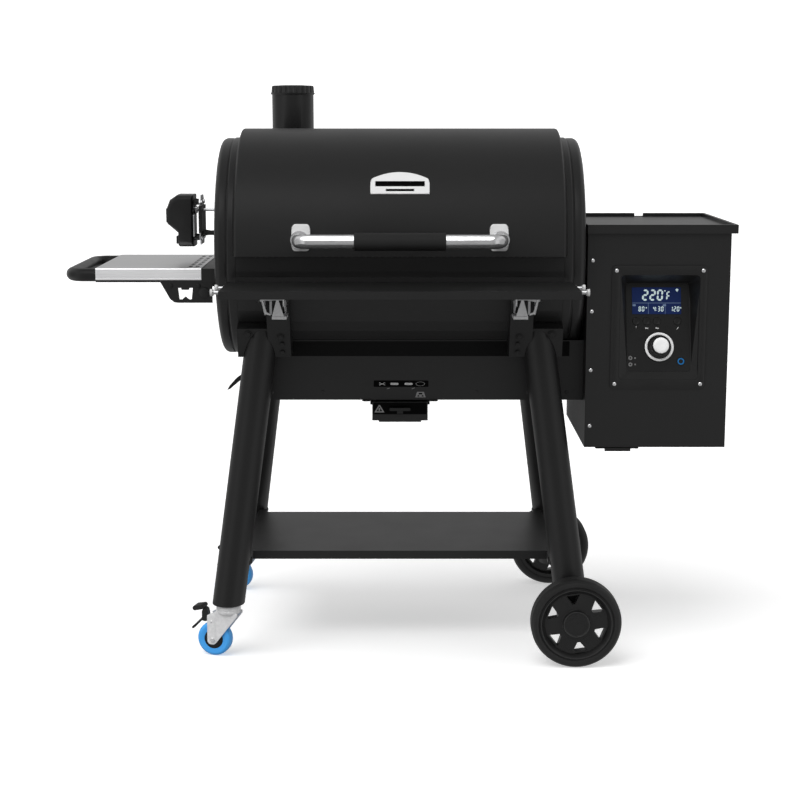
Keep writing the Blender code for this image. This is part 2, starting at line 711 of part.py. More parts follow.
def make_auger_motor():
    motor = box((0.590, 0.660), (-0.035, 0.035), (0.603, 0.673))
    cut(motor, rod(0.0055, "X", (0.0, AUGER_Z), 0.58, 0.605, 8))
    join(motor, rod(0.028, "X", (0.0, AUGER_Z), 0.659, 0.690, SMALL_ROUND))
    finish(motor, "auger_motor", "bare_steel")


def make_fan():
    """The blower's wheel: a disc with a hub and upright blades."""
    fan = turned(
        [(0.0042, -0.050), (0.012, -0.050), (0.012, -0.032), (0.043, -0.032), (0.043, -0.030), (0.0042, -0.030)],
        "Y", (FAN_X, FAN_Z), 16,
    )
    for k in range(8):
        blade = box((0.026, 0.042), (-0.050, -0.0315), (-0.001, 0.001))
        blade.data.transform(Matrix.Translation((FAN_X, 0.0, FAN_Z)) @ Matrix.Rotation(pi * k / 4, 4, "Y"))
        join(fan, blade)
    finish(fan, "fan_impeller", "bare_steel", (FAN_X, -0.030, FAN_Z))
    case = turned(
        [(0.020, -0.055), (0.050, -0.055), (0.050, -0.022), (0.0, -0.022), (0.0, -0.026), (0.048, -0.026),
         (0.048, -0.053), (0.020, -0.053)],
        "Y", (FAN_X, FAN_Z), 16,
    )
    join(case, rod(0.0036, "Y", (FAN_X, FAN_Z), -0.046, -0.024, 8))
    join(case, rod(0.022, "Y", (FAN_X, FAN_Z), -0.023, 0.010, SMALL_ROUND))
    join(case, box((FAN_X - 0.050, FAN_X + 0.050), (-0.054, -0.024), (HOPPER_Z + SHEET + GAP, FAN_Z - 0.047)))
    finish(case, "fan_housing", "black_plastic")


# Hopper and controller


def make_hopper_body():
    """The sheet box beside the barrel, with the power inlet low on its back and rails for the clean-out gate."""
    hopper = box((HOPPER_LEFT, HOPPER_RIGHT), (-HOPPER_Y, HOPPER_Y), (HOPPER_Z, HOPPER_TOP))
    inside_x = (HOPPER_LEFT + SHEET, HOPPER_RIGHT - SHEET)
    cut(hopper, box(inside_x, (SHEET - HOPPER_Y, HOPPER_Y - SHEET), (HOPPER_Z + SHEET, HOPPER_TOP + 0.01)))
    window_x = (WINDOW_X[0] - 0.004, WINDOW_X[1] + 0.004)
    window_z = (WINDOW_Z[0] - 0.004, WINDOW_Z[1] + 0.004)
    cut(hopper, box(window_x, (-0.22, -0.19), window_z))
    cut(hopper, rod(AUGER_TUBE_R + GAP, "X", (0.0, AUGER_Z), 0.42, 0.44, 16))
    cut(hopper, box((0.470, 0.540), (-0.170, -0.100), (0.48, 0.49)))
    join(hopper, box(INLET_X, (HOPPER_Y - 0.001, HOPPER_Y + 0.006), INLET_Z))
    socket_x = (INLET_X[0] + 0.004, INLET_X[1] - 0.004)
    cut(hopper, box(socket_x, (HOPPER_Y + 0.002, HOPPER_Y + 0.010), (INLET_Z[0] + 0.004, INLET_Z[1] - 0.004)))
    for start in HOPPER_KNUCKLES:
        for x in (start - 0.004, start + 0.041):
            join(hopper, box((x, x + PLATE), (HOPPER_Y - 0.001, HOPPER_HINGE_Y + 0.004), (0.966, 0.9785)))
        join(hopper, rod(0.0022, "X", (HOPPER_HINGE_Y, HOPPER_HINGE_Z), start - 0.003, start + 0.043, 8))
    for x in (0.4560, 0.5520):
        rail = [(x, -0.195), (x + 0.004, -0.195), (x + 0.004, -0.080), (x, -0.080)]
        join(hopper, prism(rail, "Z", HOPPER_Z - 0.006, HOPPER_Z + 0.001))
        inward = (x + 0.001, x + 0.008) if x < 0.5 else (x - 0.004, x + 0.003)
        join(hopper, box(inward, (-0.195, -0.080), (HOPPER_Z - 0.006, HOPPER_Z - 0.0045)))
    finish(hopper, "hopper_body", "black_paint")


def make_clean_out_gate():
    """The plate that slides forward under the hopper to let the pellets out."""
    gate = box((0.4615, 0.5505), (-0.204, -0.085), (HOPPER_Z - 0.0040, HOPPER_Z - 0.0020))
    join(gate, box((0.4760, 0.5360), (-0.2060, -0.2030), (HOPPER_Z - 0.0100, HOPPER_Z - 0.0020)))
    finish(gate, "clean_out_gate", "zinc")


def rectangle_ring(x, y, z):
    return [(x[0], y[0], z), (x[1], y[0], z), (x[1], y[1], z), (x[0], y[1], z)]


def make_pellet_bin():
    """The sheet bin for the pellets, which narrows to an outlet over the auger."""
    levels = [((0.436, 0.746), (-0.125, 0.195), 0.9860), ((0.436, 0.746), (-0.125, 0.195), 0.8600),
              ((0.503, 0.557), (-0.018, 0.018), 0.6720)]
    outer = [rectangle_ring(x, y, z) for x, y, z in levels]
    inner = []
    for x, y, z in levels[::-1]:
        inner.append(rectangle_ring((x[0] + SHEET, x[1] - SHEET), (y[0] + SHEET, y[1] - SHEET), z))
    finish(rings_to_solid(outer + inner), "pellet_bin", "bare_steel")


def make_hopper_lid():
    """A folded lid with a sunk top panel and a notch in the rear rim for the hand."""
    x = (0.4257, 0.7675)
    y = (-0.2170, 0.2130)
    lid = box(x, y, (HOPPER_LID_BOTTOM, HOPPER_LID_TOP))
    panel = HOPPER_LID_TOP - 0.008
    cut(lid, box((x[0] + 0.008, x[1] - 0.008), (y[0] + 0.008, y[1] - 0.008), (panel, panel + 0.02)))
    below = (HOPPER_LID_BOTTOM - 0.01, panel - SHEET)
    cut(lid, box((x[0] + 0.0017, x[1] - 0.0017), (y[0] + 0.0017, y[1] - 0.0017), below))
    cut(lid, box((0.590, 0.612), (y[1] - 0.009, y[1] + 0.01), (panel + 0.001, panel + 0.02)))
    for start in HOPPER_KNUCKLES:
        leaf = box((start, start + 0.040), (y[1] - 0.0012, HOPPER_HINGE_Y + 0.001), (HOPPER_HINGE_Z, 0.986))
        join(lid, leaf, rod(0.0045, "X", (HOPPER_HINGE_Y, HOPPER_HINGE_Z), start, start + 0.040, 8))
    cut(lid, rod(0.0029, "X", (HOPPER_HINGE_Y, HOPPER_HINGE_Z), 0.40, 0.80, 8))
    finish(lid, "hopper_lid", "black_paint", (0.0, HOPPER_HINGE_Y, HOPPER_HINGE_Z))


def ring_on_slope(points, lift):
    """Points of (x, z) put on the controller's sloping panel, lift behind it."""
    ring = []
    for x, z in points:
        share = (z - PANEL_Z[0]) / (PANEL_Z[1] - PANEL_Z[0])
        ring.append((x, PANEL_BOTTOM_Y + (PANEL_TOP_Y - PANEL_BOTTOM_Y) * share + lift, z))
    return ring


def make_controller_bezel():
    """The front plate with its sunk window: the window's walls run back to the sloping panel."""
    front = -HOPPER_Y - GAP - 0.002
    back = -HOPPER_Y - GAP
    wide = 0.0015
    edge = rounded(BEZEL_X, BEZEL_Z, 0.010)
    window = rounded(WINDOW_X, WINDOW_Z, 0.008)
    window_out = rounded((WINDOW_X[0] - wide, WINDOW_X[1] + wide), (WINDOW_Z[0] - wide, WINDOW_Z[1] + wide), 0.009)
    panel = rounded(PANEL_X, PANEL_Z, 0.006)
    panel_out = rounded((PANEL_X[0] - wide, PANEL_X[1] + wide), (PANEL_Z[0] - wide, PANEL_Z[1] + wide), 0.007)
    rings = [
        [(x, front, z) for x, z in edge], [(x, front, z) for x, z in window], ring_on_slope(panel, 0.0),
        ring_on_slope(panel_out, 0.0035), [(x, back, z) for x, z in window_out], [(x, back, z) for x, z in edge],
    ]
    finish(rings_to_solid(rings), "controller_bezel", "black_plastic")


def panel_place(x, up, out=0.0):
    """The transform from a turned piece along +Z to one that stands out of the sloping panel."""
    y = PANEL_BOTTOM_Y + up * sin(PANEL_TILT) - out * cos(PANEL_TILT)
    z = PANEL_Z[0] + up * cos(PANEL_TILT) + out * sin(PANEL_TILT)
    return Matrix.Translation((x, y, z)) @ Matrix.Rotation(pi / 2 - PANEL_TILT, 4, "X")


def make_control_panel():
    x = (PANEL_X[0] + GAP, PANEL_X[1] - GAP)
    z = (PANEL_Z[0] + GAP, PANEL_Z[1] - GAP)
    outline = rounded(x, z, 0.006)
    middle = [(sum(x) / 2, sum(z) / 2)]
    front, back = 0.0, 0.003
    panel = rings_to_solid([
        ring_on_slope(middle, front), ring_on_slope(outline, front),
        ring_on_slope(outline, back), ring_on_slope(middle, back),
    ])
    holes = [(bx, BUTTON_UP, BUTTON_R) for bx in BUTTON_XS] + [(POWER_X, POWER_UP, BUTTON_R)]
    for bx, up, radius in holes:
        hole = rod(radius + 0.0004, "Z", (0.0, 0.0), -0.01, 0.01)
        hole.data.transform(panel_place(bx, up))
        cut(panel, hole)
    ring = turned([(0.029, -0.001), (0.035, -0.001), (0.034, 0.004), (0.029, 0.004)], "Z", (0.0, 0.0), 24)
    ring.data.transform(panel_place(KNOB_X, KNOB_UP))
    join(panel, ring)
    finish(panel, "control_panel", "black_plastic")


def make_controls():
    screen = box((-0.0575, 0.0575), (-0.032, 0.032), (0.0003, 0.0018))
    screen.data.transform(panel_place(0.5945, 0.165))
    finish(screen, "lcd_screen", "screen")
    names = [f"menu_button_{k + 1}" for k in range(4)] + ["power_button"]
    places = [(x, BUTTON_UP) for x in BUTTON_XS] + [(POWER_X, POWER_UP)]
    for name, (x, up) in zip(names, places):
        cap = turned(
            [(0.0, -0.0040), (BUTTON_R, -0.0040), (BUTTON_R, 0.0020), (0.0, 0.0026)],
            "Z", (0.0, 0.0), SMALL_ROUND,
        )
        place = panel_place(x, up)
        cap.data.transform(place)
        finish(cap, name, "black_plastic", tuple(place.translation))
    knob = turned(
        [(0.0, 0.0006), (0.0265, 0.0006), (0.0265, 0.004), (0.0215, 0.007), (0.0200, 0.0310), (0.0, 0.0320)],
        "Z", (0.0, 0.0), 20,
    )
    place = panel_place(KNOB_X, KNOB_UP)
    knob.data.transform(place)
    finish(knob, "control_knob", "steel", tuple(place.translation))


# Front shelf


def make_front_shelf():
    """A folded steel shelf with pegs for tools at its ends, on ears that turn on the hinge brackets."""
    x = (-FRONT_SHELF_X, FRONT_SHELF_X)
    y = FRONT_SHELF_Y
    top = FRONT_SHELF_Z
    shelf = box(x, y, (top - FRONT_LIP, top))
    cut(shelf, box((x[0] + SHEET, x[1] - SHEET), (y[0] + SHEET, y[1] + 0.01), (top - 0.03, top - SHEET)))
    join(shelf, box((-0.370, 0.370), (y[1] - SHEET, y[1]), (top - 0.001, top + 0.011)))
    for side in (-1, 1):
        for peg_y in PEG_YS:
            join(shelf, rod(0.0040, "X", (peg_y, 0.8680), *mirrored(FRONT_SHELF_X - 0.001, 0.404, side), 8))
            join(shelf, rod(0.0075, "X", (peg_y, 0.8680), *mirrored(0.403, 0.410, side), 12))
        for ear_x in (0.246, 0.313):
            ear = [(-0.350, 0.874), (-0.345, 0.840), (-0.335, 0.8355), (-0.325, 0.840), (-0.320, 0.874)]
            join(shelf, prism(ear, "X", *mirrored(ear_x, ear_x + PLATE, side)))
        join(shelf, rod(0.0035, "X", (FOLD_Y, FOLD_Z), *mirrored(0.247, 0.315, side), 8))
    finish(shelf, "front_shelf", "black_paint", (0.0, FOLD_Y, FOLD_Z))


def make_shelf_hinge(name, side):
    """A zinc bracket that stands out of the front bracket and holds the shelf's pin between its two cheeks."""
    cheek = [(-0.2628, 0.802), (-0.2628, 0.846), (-0.3300, 0.853), (-0.3400, 0.852), (-0.3430, 0.845), (-0.3400, 0.838)]
    near, far = SHELF_HINGE_X
    hinge = prism(cheek, "X", *mirrored(near, near + PLATE, side))
    web = [(-0.2628, 0.802), (-0.3400, 0.838), (-0.3385, 0.8405), (-0.2628, 0.8055)]
    join(hinge, prism(cheek, "X", *mirrored(far - PLATE, far, side)), prism(web, "X", *mirrored(near, far, side)))
    cut(hinge, rod(0.0041, "X", (FOLD_Y, FOLD_Z), -0.4, 0.4, 8))
    finish(hinge, name, "zinc")


# Side shelf and rotisserie


def make_side_shelf_top():
    """A stainless tray turned down at its front and back, with rows of slots at its right end."""
    shelf = box((SIDE_LEFT, SIDE_RIGHT), (-SIDE_Y, SIDE_Y), (SIDE_TOP - SIDE_FACE, SIDE_TOP))
    under = (SIDE_TOP - 0.05, SIDE_TOP - 0.0015)
    cut(shelf, box((SIDE_LEFT - 0.01, SIDE_RIGHT + 0.01), (0.0015 - SIDE_Y, SIDE_Y - 0.0015), under))
    for row_x in (-0.486, -0.470):
        for k in range(6):
            y = -0.150 + k * 0.052
            cut(shelf, box((row_x - 0.003, row_x + 0.003), (y, y + 0.036), (SIDE_TOP - 0.01, SIDE_TOP + 0.01)))
    finish(shelf, "side_shelf_top", "steel")


def make_side_shelf_frame():
    """The black frame: an end rail on the barrel's end cap, two bars under the top, and the front bracket with its
    bottle opener."""
    low, high = 0.8655, SIDE_TOP - SIDE_FACE - GAP
    frame = box((SIDE_LEFT, -0.4555), (-0.1805, -0.1480), (low, high))
    join(frame, box((SIDE_LEFT, -0.4555), (0.1480, 0.1805), (low, high)))
    join(frame, box((-0.4562, -0.4246), (-0.182, 0.182), (low, SIDE_TOP - 0.001)))
    bracket = [(-0.552, low + 0.001), (-0.530, 0.827), (-0.520, 0.819), (-0.510, 0.818), (-0.4320, 0.818), (-0.4320, low + 0.001)]
    for y in (-0.1805, 0.1775):
        plate = prism(bracket, "Y", y, y + PLATE)
        if y < 0:
            opener = [(-0.511, 0.8525), (-0.504, 0.8525), (-0.503, 0.848), (-0.486, 0.848), (-0.485, 0.8525),
                      (-0.477, 0.8525), (-0.480, 0.826), (-0.486, 0.826), (-0.494, 0.833), (-0.502, 0.826), (-0.508, 0.826)]
            cut(plate, prism(opener, "Y", y - 0.01, y + 0.01))
            join(plate, rod(0.012, "Y", (-0.4515, 0.842), y - 0.004, y + 0.001, SMALL_ROUND))
        join(frame, plate)
    finish(frame, "side_shelf_frame", "black_paint")


def make_side_shelf_handle():
    """The towel bar around the left end: a thick bar with round corners, open between the bar and the shelf."""
    middle_z = 0.8815
    radius = 0.0155
    bend = 0.034
    out_x = HANDLE_LEFT + radius
    corner_y = SIDE_Y - radius
    half = [(SIDE_LEFT - GAP, corner_y, middle_z)]
    for k in range(6):
        angle = radians(90.0 + 90.0 * k / 5)
        half.append((out_x + bend + bend * cos(angle), corner_y - bend + bend * sin(angle), middle_z))
    path = half + [(x, -y, z) for x, y, z in half[::-1]]
    finish(pipe(path, radius, 12), "side_shelf_handle", "black_plastic")


def make_rotisserie():
    """The motor on its bracket, beside the left end cap, and the socket that turns the spit."""
    outline = [(-0.553, 0.990), (-0.553, 1.028), (-0.546, 1.046), (-0.528, 1.058), (MOTOR_X[1], 1.058),
               (MOTOR_X[1], 0.935), (-0.527, 0.935), (-0.527, 0.942), (-0.5325, 0.942), (-0.5325, 0.960),
               (-0.527, 0.960), (-0.527, 0.968)]
    motor = prism(outline, "Y", -0.045, 0.045)
    cut(motor, rod(0.0085, "X", (0.0, SPIT_Z), -0.52, -0.48, SMALL_ROUND))
    finish(motor, "rotisserie_motor", "black_plastic")
    socket = turned(
        [(0.0, -0.515), (0.0080, -0.515), (0.0080, -0.484), (0.0040, -0.484), (0.0040, -0.500), (0.0, -0.500)],
        "X", (0.0, SPIT_Z), 12,
    )
    finish(socket, "spit_socket", "zinc", (-0.500, 0.0, SPIT_Z))
    face = [(-0.032, 0.940), (0.032, 0.940), (0.040, 0.952), (0.040, 1.040), (0.030, 1.056), (-0.030, 1.056),
            (-0.040, 1.040), (-0.040, 0.952)]
    bracket = prism(face, "X", *BRACKET_X)
    cut(bracket, prism([(-0.009, 1.012), (0.009, 1.012), (0.009, 1.07), (-0.009, 1.07)], "X", -0.49, -0.46))
    for z in (0.956, 1.040):
        for y in (-0.026, 0.026):
            join(bracket, rod(0.0045, "X", (y, z), MOTOR_X[1] + GAP, BRACKET_X[0] + 0.001, 8))
    for y in (-0.020, 0.020):
        stud = turned([(0.0, -0.474), (0.0060, -0.474), (0.0060, -0.468), (0.0035, -0.458), (0.0035, -0.4243), (0.0, -0.4243)],
                      "X", (y, 0.966), 8)
        join(bracket, stud)
    finish(bracket, "rotisserie_bracket", "zinc")


def make_chassis():
    make_barrel_body()
    make_end_cap("left_end_cap", -1)
    make_end_cap("right_end_cap", 1)
    make_grease_tray()
    make_fire_pot()
    make_heat_diffuser()
    make_chimney()
    for side_x, across in ((-1, "left"), (1, "right")):
        make_leg(f"leg_front_{across}", side_x, -1)
        make_leg(f"leg_rear_{across}", side_x, 1)
        make_front_bracket(f"front_bracket_{across}", side_x)
        make_rear_bracket(f"rear_bracket_{across}", side_x)
        make_shelf_hinge(f"shelf_hinge_{across}", side_x)
    make_bottom_shelf()
    make_lower_housing()
    make_auger_tube()
    make_auger_motor()
    make_hopper_body()
    make_pellet_bin()
    make_controller_bezel()
    make_control_panel()
    make_side_shelf_top()
    make_side_shelf_frame()
    make_side_shelf_handle()
    make_rotisserie()


def make_moving_parts():
    make_lid()
    make_lid_handle()
    make_grid("cooking_grid_left", -0.344, -0.002)
    make_grid("cooking_grid_right", 0.002, 0.344)
    make_warming_rack()
    make_chimney_cap()
    make_wheel("wheel_front", -1)
    make_wheel("wheel_rear", 1)
    make_caster(-1, "front")
    make_caster(1, "rear")
    make_grease_drawer()
    make_auger_screw()
    make_fan()
    make_clean_out_gate()
    make_hopper_lid()
    make_controls()
    make_front_shelf()


def main():
    clear_scene()
    make_frame()
    make_chassis()
    make_moving_parts()


main()
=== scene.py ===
from collections import Counter
from math import atan2, cos, pi, radians, sin, sqrt

import bmesh
import bpy
from mathutils import Matrix, Vector


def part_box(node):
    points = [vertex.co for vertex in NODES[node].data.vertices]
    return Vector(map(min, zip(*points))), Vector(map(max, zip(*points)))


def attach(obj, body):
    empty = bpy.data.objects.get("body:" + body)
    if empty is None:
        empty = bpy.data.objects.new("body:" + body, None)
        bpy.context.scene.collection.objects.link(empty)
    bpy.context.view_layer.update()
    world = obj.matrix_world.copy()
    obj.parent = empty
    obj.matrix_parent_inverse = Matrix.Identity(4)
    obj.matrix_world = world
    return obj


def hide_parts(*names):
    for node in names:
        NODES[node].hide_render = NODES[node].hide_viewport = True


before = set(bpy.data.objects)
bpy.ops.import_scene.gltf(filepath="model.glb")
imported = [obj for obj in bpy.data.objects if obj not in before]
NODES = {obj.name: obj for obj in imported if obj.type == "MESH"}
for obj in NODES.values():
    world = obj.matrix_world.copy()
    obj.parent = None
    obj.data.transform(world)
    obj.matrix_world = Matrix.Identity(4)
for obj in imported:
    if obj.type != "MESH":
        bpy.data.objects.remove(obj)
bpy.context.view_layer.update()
LID_BOX, CAP_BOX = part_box("lid"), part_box("left_end_cap")

# Sizes are counted as in the CAD part: x from the barrel's middle, y from its axis, z from the floor.
SHIFT = Vector(((LID_BOX[0][0] + LID_BOX[1][0]) / 2, (CAP_BOX[0][1] + CAP_BOX[1][1]) / 2, 0.0))
SIDES = ((-1, "left"), (1, "right"))
ENDS = ((-1, "front"), (1, "rear"))

BARREL_Z, BARREL_R = 0.935, 0.2607
CAP_START = 0.3703
LID_R = 0.278
LID_EASE = 0.0012
HANDLE_Y, HANDLE_Z, HANDLE_X = -0.338, 0.971, 0.224
GRID_Z, RACK_Z = 0.901, 1.0603
CHIMNEY_X, CHIMNEY_Y = -0.27, 0.262
LEG_R, LEG_TOP = 0.0375, 0.76
LEG_LEAN_X, LEG_LEAN_Y = 0.132, 0.1127
WHEEL_X, WHEEL_R = 0.402, 0.1035
CASTER_R, CASTER_TURN = 0.0405, 165.0
HOUSING_Y = 0.158
AUGER_Z = 0.638
FAN_X, FAN_Z = 0.64, 0.545
HOPPER_Y = 0.207
PANEL_TILT = atan2(0.055, 0.2)
PANEL_Y, PANEL_Z = -0.202, 0.661
DIAL = (0.599, 0.057)
POWER = (0.6487, 0.0236)
MENU_XS, MENU_UP = (0.547, 0.571, 0.595, 0.6425), 0.117
PEG_Z = 0.868
PIN_Y, PIN_Z = -0.335, 0.845
BAR_Z = 0.8815
SPIT_Z = 1.021
CAMERA_PLACE, CAMERA_PITCH, CAMERA_LENS = (0.0, -3.958, 1.26), 79.95, 74.1

COOL = (1.0, 1.0, 1.01)

# World brightness from each side, and the direction of the box light above the front.
FRONT_LIGHT = 0.3
LOW_LIGHT = 0.06
TOP_LIGHT = 0.2
BACK_LIGHT = 0.17
SIDE_LIGHT = 0.4
BOX_LIGHT = 0.8
BOX_DIRECTION = (-0.2, -0.62, 0.74)
FLOOR_SIZE = 40
FLOOR_GLOW, WALL_GLOW = 0.46, 1.2


# Materials


class Look:
    """A small helper that builds one procedural material."""

    def __init__(self, name):
        self.material = bpy.data.materials.new(name)
        self.material.use_nodes = True
        self.tree = self.material.node_tree
        self.shader = self.tree.nodes["Principled BSDF"]
        self.place = self.tree.nodes.new("ShaderNodeTexCoord").outputs["Object"]

    def put(self, socket, value):
        if hasattr(value, "is_linked"):
            self.tree.links.new(value, socket)
        else:
            socket.default_value = value

    def fill(self, node, values):
        """Sets a node's inputs by name, with underscores for spaces."""
        for name, value in values.items():
            self.put(node.inputs[name.replace("_", " ")], value)

    def node(self, kind, **values):
        node = self.tree.nodes.new(kind)
        self.fill(node, values)
        return node

    def noise(self, scale, detail=3.0, stretch=(1.0, 1.0, 1.0), roughness=0.5):
        mapping = self.node("ShaderNodeMapping", Vector=self.place, Scale=stretch)
        return self.node("ShaderNodeTexNoise", Vector=mapping.outputs[0], Scale=scale, Detail=detail,
                         Roughness=roughness).outputs[0]

    def cells(self, scale):
        return self.node("ShaderNodeTexVoronoi", Vector=self.place, Scale=scale).outputs["Distance"]

    def spread(self, value, low, high, start=0.3, end=0.7):
        return self.node("ShaderNodeMapRange", Value=value, From_Min=start, From_Max=end, To_Min=low,
                         To_Max=high).outputs[0]

    def blend(self, value, first, second, most=1.0, start=0.3, end=0.7):
        """Two colours mixed by a texture, with at most a given share of the second."""
        return self.mix(self.spread(value, 0.0, most, start, end), first, second)

    def mix(self, factor, first, second):
        node = self.tree.nodes.new("ShaderNodeMix")
        node.data_type = "RGBA"
        for index, value in ((0, factor), (6, first), (7, second)):
            self.put(node.inputs[index], value)
        return node.outputs[2]

    def add(self, first, second):
        node = self.tree.nodes.new("ShaderNodeMath")
        self.put(node.inputs[0], first)
        self.put(node.inputs[1], second)
        return node.outputs[0]

    def uneven(self, rough, broad, down, up, fine, tremble=0.03):
        """A roughness that drifts with a broad texture and trembles with a fine one."""
        return self.add(self.spread(broad, rough - down, rough + up), self.spread(fine, -tremble, tremble))

    def finish(self, colour, rough, height=None, strength=0.0, distance=0.0, **others):
        """Fills in the shader, with a bump where a height is given, and returns the material."""
        self.fill(self.shader, {"Base_Color": colour, "Roughness": rough, **others})
        if height is not None:
            bump = self.node("ShaderNodeBump", Height=height, Strength=strength, Distance=distance)
            self.put(self.shader.inputs["Normal"], bump.outputs[0])
        return self.material


def grey(value, tint=(1.0, 1.0, 1.0)):
    return tuple(value * part for part in tint) + (1.0,)


def powder_coat(name, tone=0.02, rough=0.42, relief=0.35, shine=0.5):
    """Satin black powder coat: fine orange peel, a faint speckle and slow changes of sheen."""
    look = Look(name)
    fine = look.noise(900.0, 2.0)
    speck = look.noise(2600.0, 1.0)
    streak = look.noise(14.0, 5.0, (1.0, 1.0, 0.25))
    shade = look.blend(look.noise(5.0, 4.0), grey(tone * 0.94), grey(tone * 1.06, COOL))
    dust = look.blend(speck, shade, grey(tone * 3.0), 0.16, 0.62, 0.8)
    return look.finish(dust, look.uneven(rough, streak, 0.012, 0.016, fine, 0.02),
                       look.add(fine, look.spread(speck, 0.0, 0.35)), relief, 0.00022,
                       Specular_IOR_Level=shine)


def steel(name, tone, rough, grain=(3.0, 260.0, 260.0), relief=0.12, metal=1.0):
    """Brushed steel: long fine lines one way, with cloudy changes of brightness."""
    look = Look(name)
    lines = look.noise(4.0, 6.0, grain, 0.7)
    marks = look.noise(60.0, 8.0, (1.0, 6.0, 6.0), 0.75)
    shade = look.blend(lines, grey(tone * 0.9, COOL), grey(tone * 1.08, COOL))
    worn = look.blend(marks, shade, grey(tone * 0.75, COOL), 0.3, 0.62, 0.75)
    sheen = look.add(look.spread(lines, rough - 0.05, rough + 0.08),
                     look.spread(look.noise(9.0), -0.03, 0.04))
    return look.finish(worn, sheen, look.add(lines, look.noise(11.0, 3.0, grain, 0.6)), relief, 0.00008,
                       Metallic=metal)


def zinc(name, tone=0.62, rough=0.34):
    """Zinc plate: a faint grain of crystals, duller in patches."""
    look = Look(name)
    cloud = look.noise(40.0, 5.0)
    fine = look.noise(1500.0, 2.0)
    shade = look.blend(cloud, grey(tone * 0.84, (0.98, 1.0, 1.03)), grey(tone * 1.1, COOL))
    shade = look.blend(look.cells(320.0), shade, grey(tone * 0.7), 0.25, 0.1, 0.7)
    return look.finish(shade, look.uneven(rough, cloud, 0.06, 0.1, fine), fine, 0.12, 0.0001, Metallic=0.92)


def plastic(name, tone, rough=0.45, relief=0.25, texture=1500.0, change=0.12, shine=0.5,
            tint=(1.0, 1.0, 1.0)):
    """Moulded plastic or rubber: a fine eroded texture and a slight change of tone."""
    look = Look(name)
    cloud = look.noise(22.0, 4.0)
    fine = look.noise(texture, 2.0)
    low, high = (tuple(min(1.0, tone * part * share) for part in tint) + (1.0,)
                 for share in (1.0 - change, 1.0 + change))
    height = look.add(fine, look.spread(look.cells(texture * 0.6), 0.0, 0.5, 0.0, 0.6))
    return look.finish(look.blend(cloud, low, high), look.uneven(rough, cloud, 0.04, 0.05, fine), height,
                       relief,
                       0.00012, Specular_IOR_Level=shine)


def enamel(name, tone=0.018):
    """Porcelain-coated iron: glossy, with a slightly wavy surface and heat-dulled patches."""
    look = Look(name)
    cloud = look.noise(18.0, 5.0)
    shade = look.blend(cloud, grey(tone), grey(tone * 1.8, (1.0, 0.96, 0.92)))
    return look.finish(shade, look.spread(cloud, 0.22, 0.48), look.noise(160.0), 0.2, 0.0004)


def mill_steel(name, tone=0.3):
    """Plain sheet steel inside the grill, mottled and a little browned by heat."""
    look = Look(name)
    cloud = look.noise(12.0, 6.0, roughness=0.65)
    lines = look.noise(5.0, 5.0, (2.0, 140.0, 140.0), 0.7)
    shade = look.blend(cloud, grey(tone, (1.0, 0.97, 0.93)), grey(tone * 1.5))
    return look.finish(look.blend(lines, shade, grey(tone * 0.7), 0.3), look.spread(cloud, 0.36, 0.58),
                       look.add(lines, cloud), 0.1, 0.0002, Metallic=0.9)


def lit(name, colour, strength, rough=0.3):
    """A lit part of the display, a little uneven across its cells."""
    look = Look(name)
    shade = look.blend(look.noise(2400.0, 1.0), grey(0.93, colour), grey(1.0, colour))
    return look.finish(shade, rough, Emission_Color=shade, Emission_Strength=strength, Specular_IOR_Level=0.2)


PAINT = powder_coat("powder_coat_black")
PAINT_LID = powder_coat("powder_coat_lid", 0.02, 0.4, 0.28)
# A slightly lighter copy of the powder coat for the chimney and hopper lid: its lighter tone is painted
# light.
PAINT_TOP = powder_coat("powder_coat_top_painted_light", 0.022, 0.34, 0.2)
PAINT_CAP = powder_coat("powder_coat_cap", 0.02, 0.32, 0.2)
# A darker copy of the powder coat for the legs: painted shade.
PAINT_LEG = powder_coat("powder_coat_leg_painted_shade", 0.013, 0.42, 0.2)
PAINT_DARK = powder_coat("powder_coat_dark", 0.013, 0.5, 0.3)
# Near-black paint for the band under the barrel: painted shade.
SHADE = powder_coat("powder_coat_painted_shade", 0.006, 0.8, 0.3, 0.2)
INNER = powder_coat("baked_enamel_inside", 0.016, 0.6, 0.5)
STAINLESS = steel("stainless_brushed", 0.72, 0.32)
POLISHED = steel("stainless_polished", 0.84, 0.17, (8.0, 40.0, 40.0), 0.01, 0.85)
BRIGHT = plastic("satin_aluminium_badge", 0.7, 0.35, 0.08, 2200.0, 0.03)
WHITE = plastic("satin_white_ring", 0.92, 0.4, 0.05, 2200.0, 0.03)
ZINC = zinc("zinc_plate")
FORK = steel("fork_zinc", 0.86, 0.38, (30.0, 30.0, 30.0), 0.06, 0.25)
MILL = mill_steel("mill_steel")
IRON = enamel("porcelain_iron")
STAINLESS_FACE = steel("stainless_fold", 0.92, 0.42, metal=0.45)
PLASTIC_SOFT = plastic("black_plastic_soft", 0.014, 0.36, 0.12, 1800.0)
PLASTIC = plastic("black_plastic", 0.016, 0.46)
GRIP = plastic("grip_rubber", 0.02, 0.55, 0.4, 1100.0)
GLOSS = plastic("panel_gloss", 0.014, 0.32, 0.06, 2400.0, 0.08)
WHEEL = plastic("wheel_plastic", 0.019, 0.3, 0.3, 1300.0)
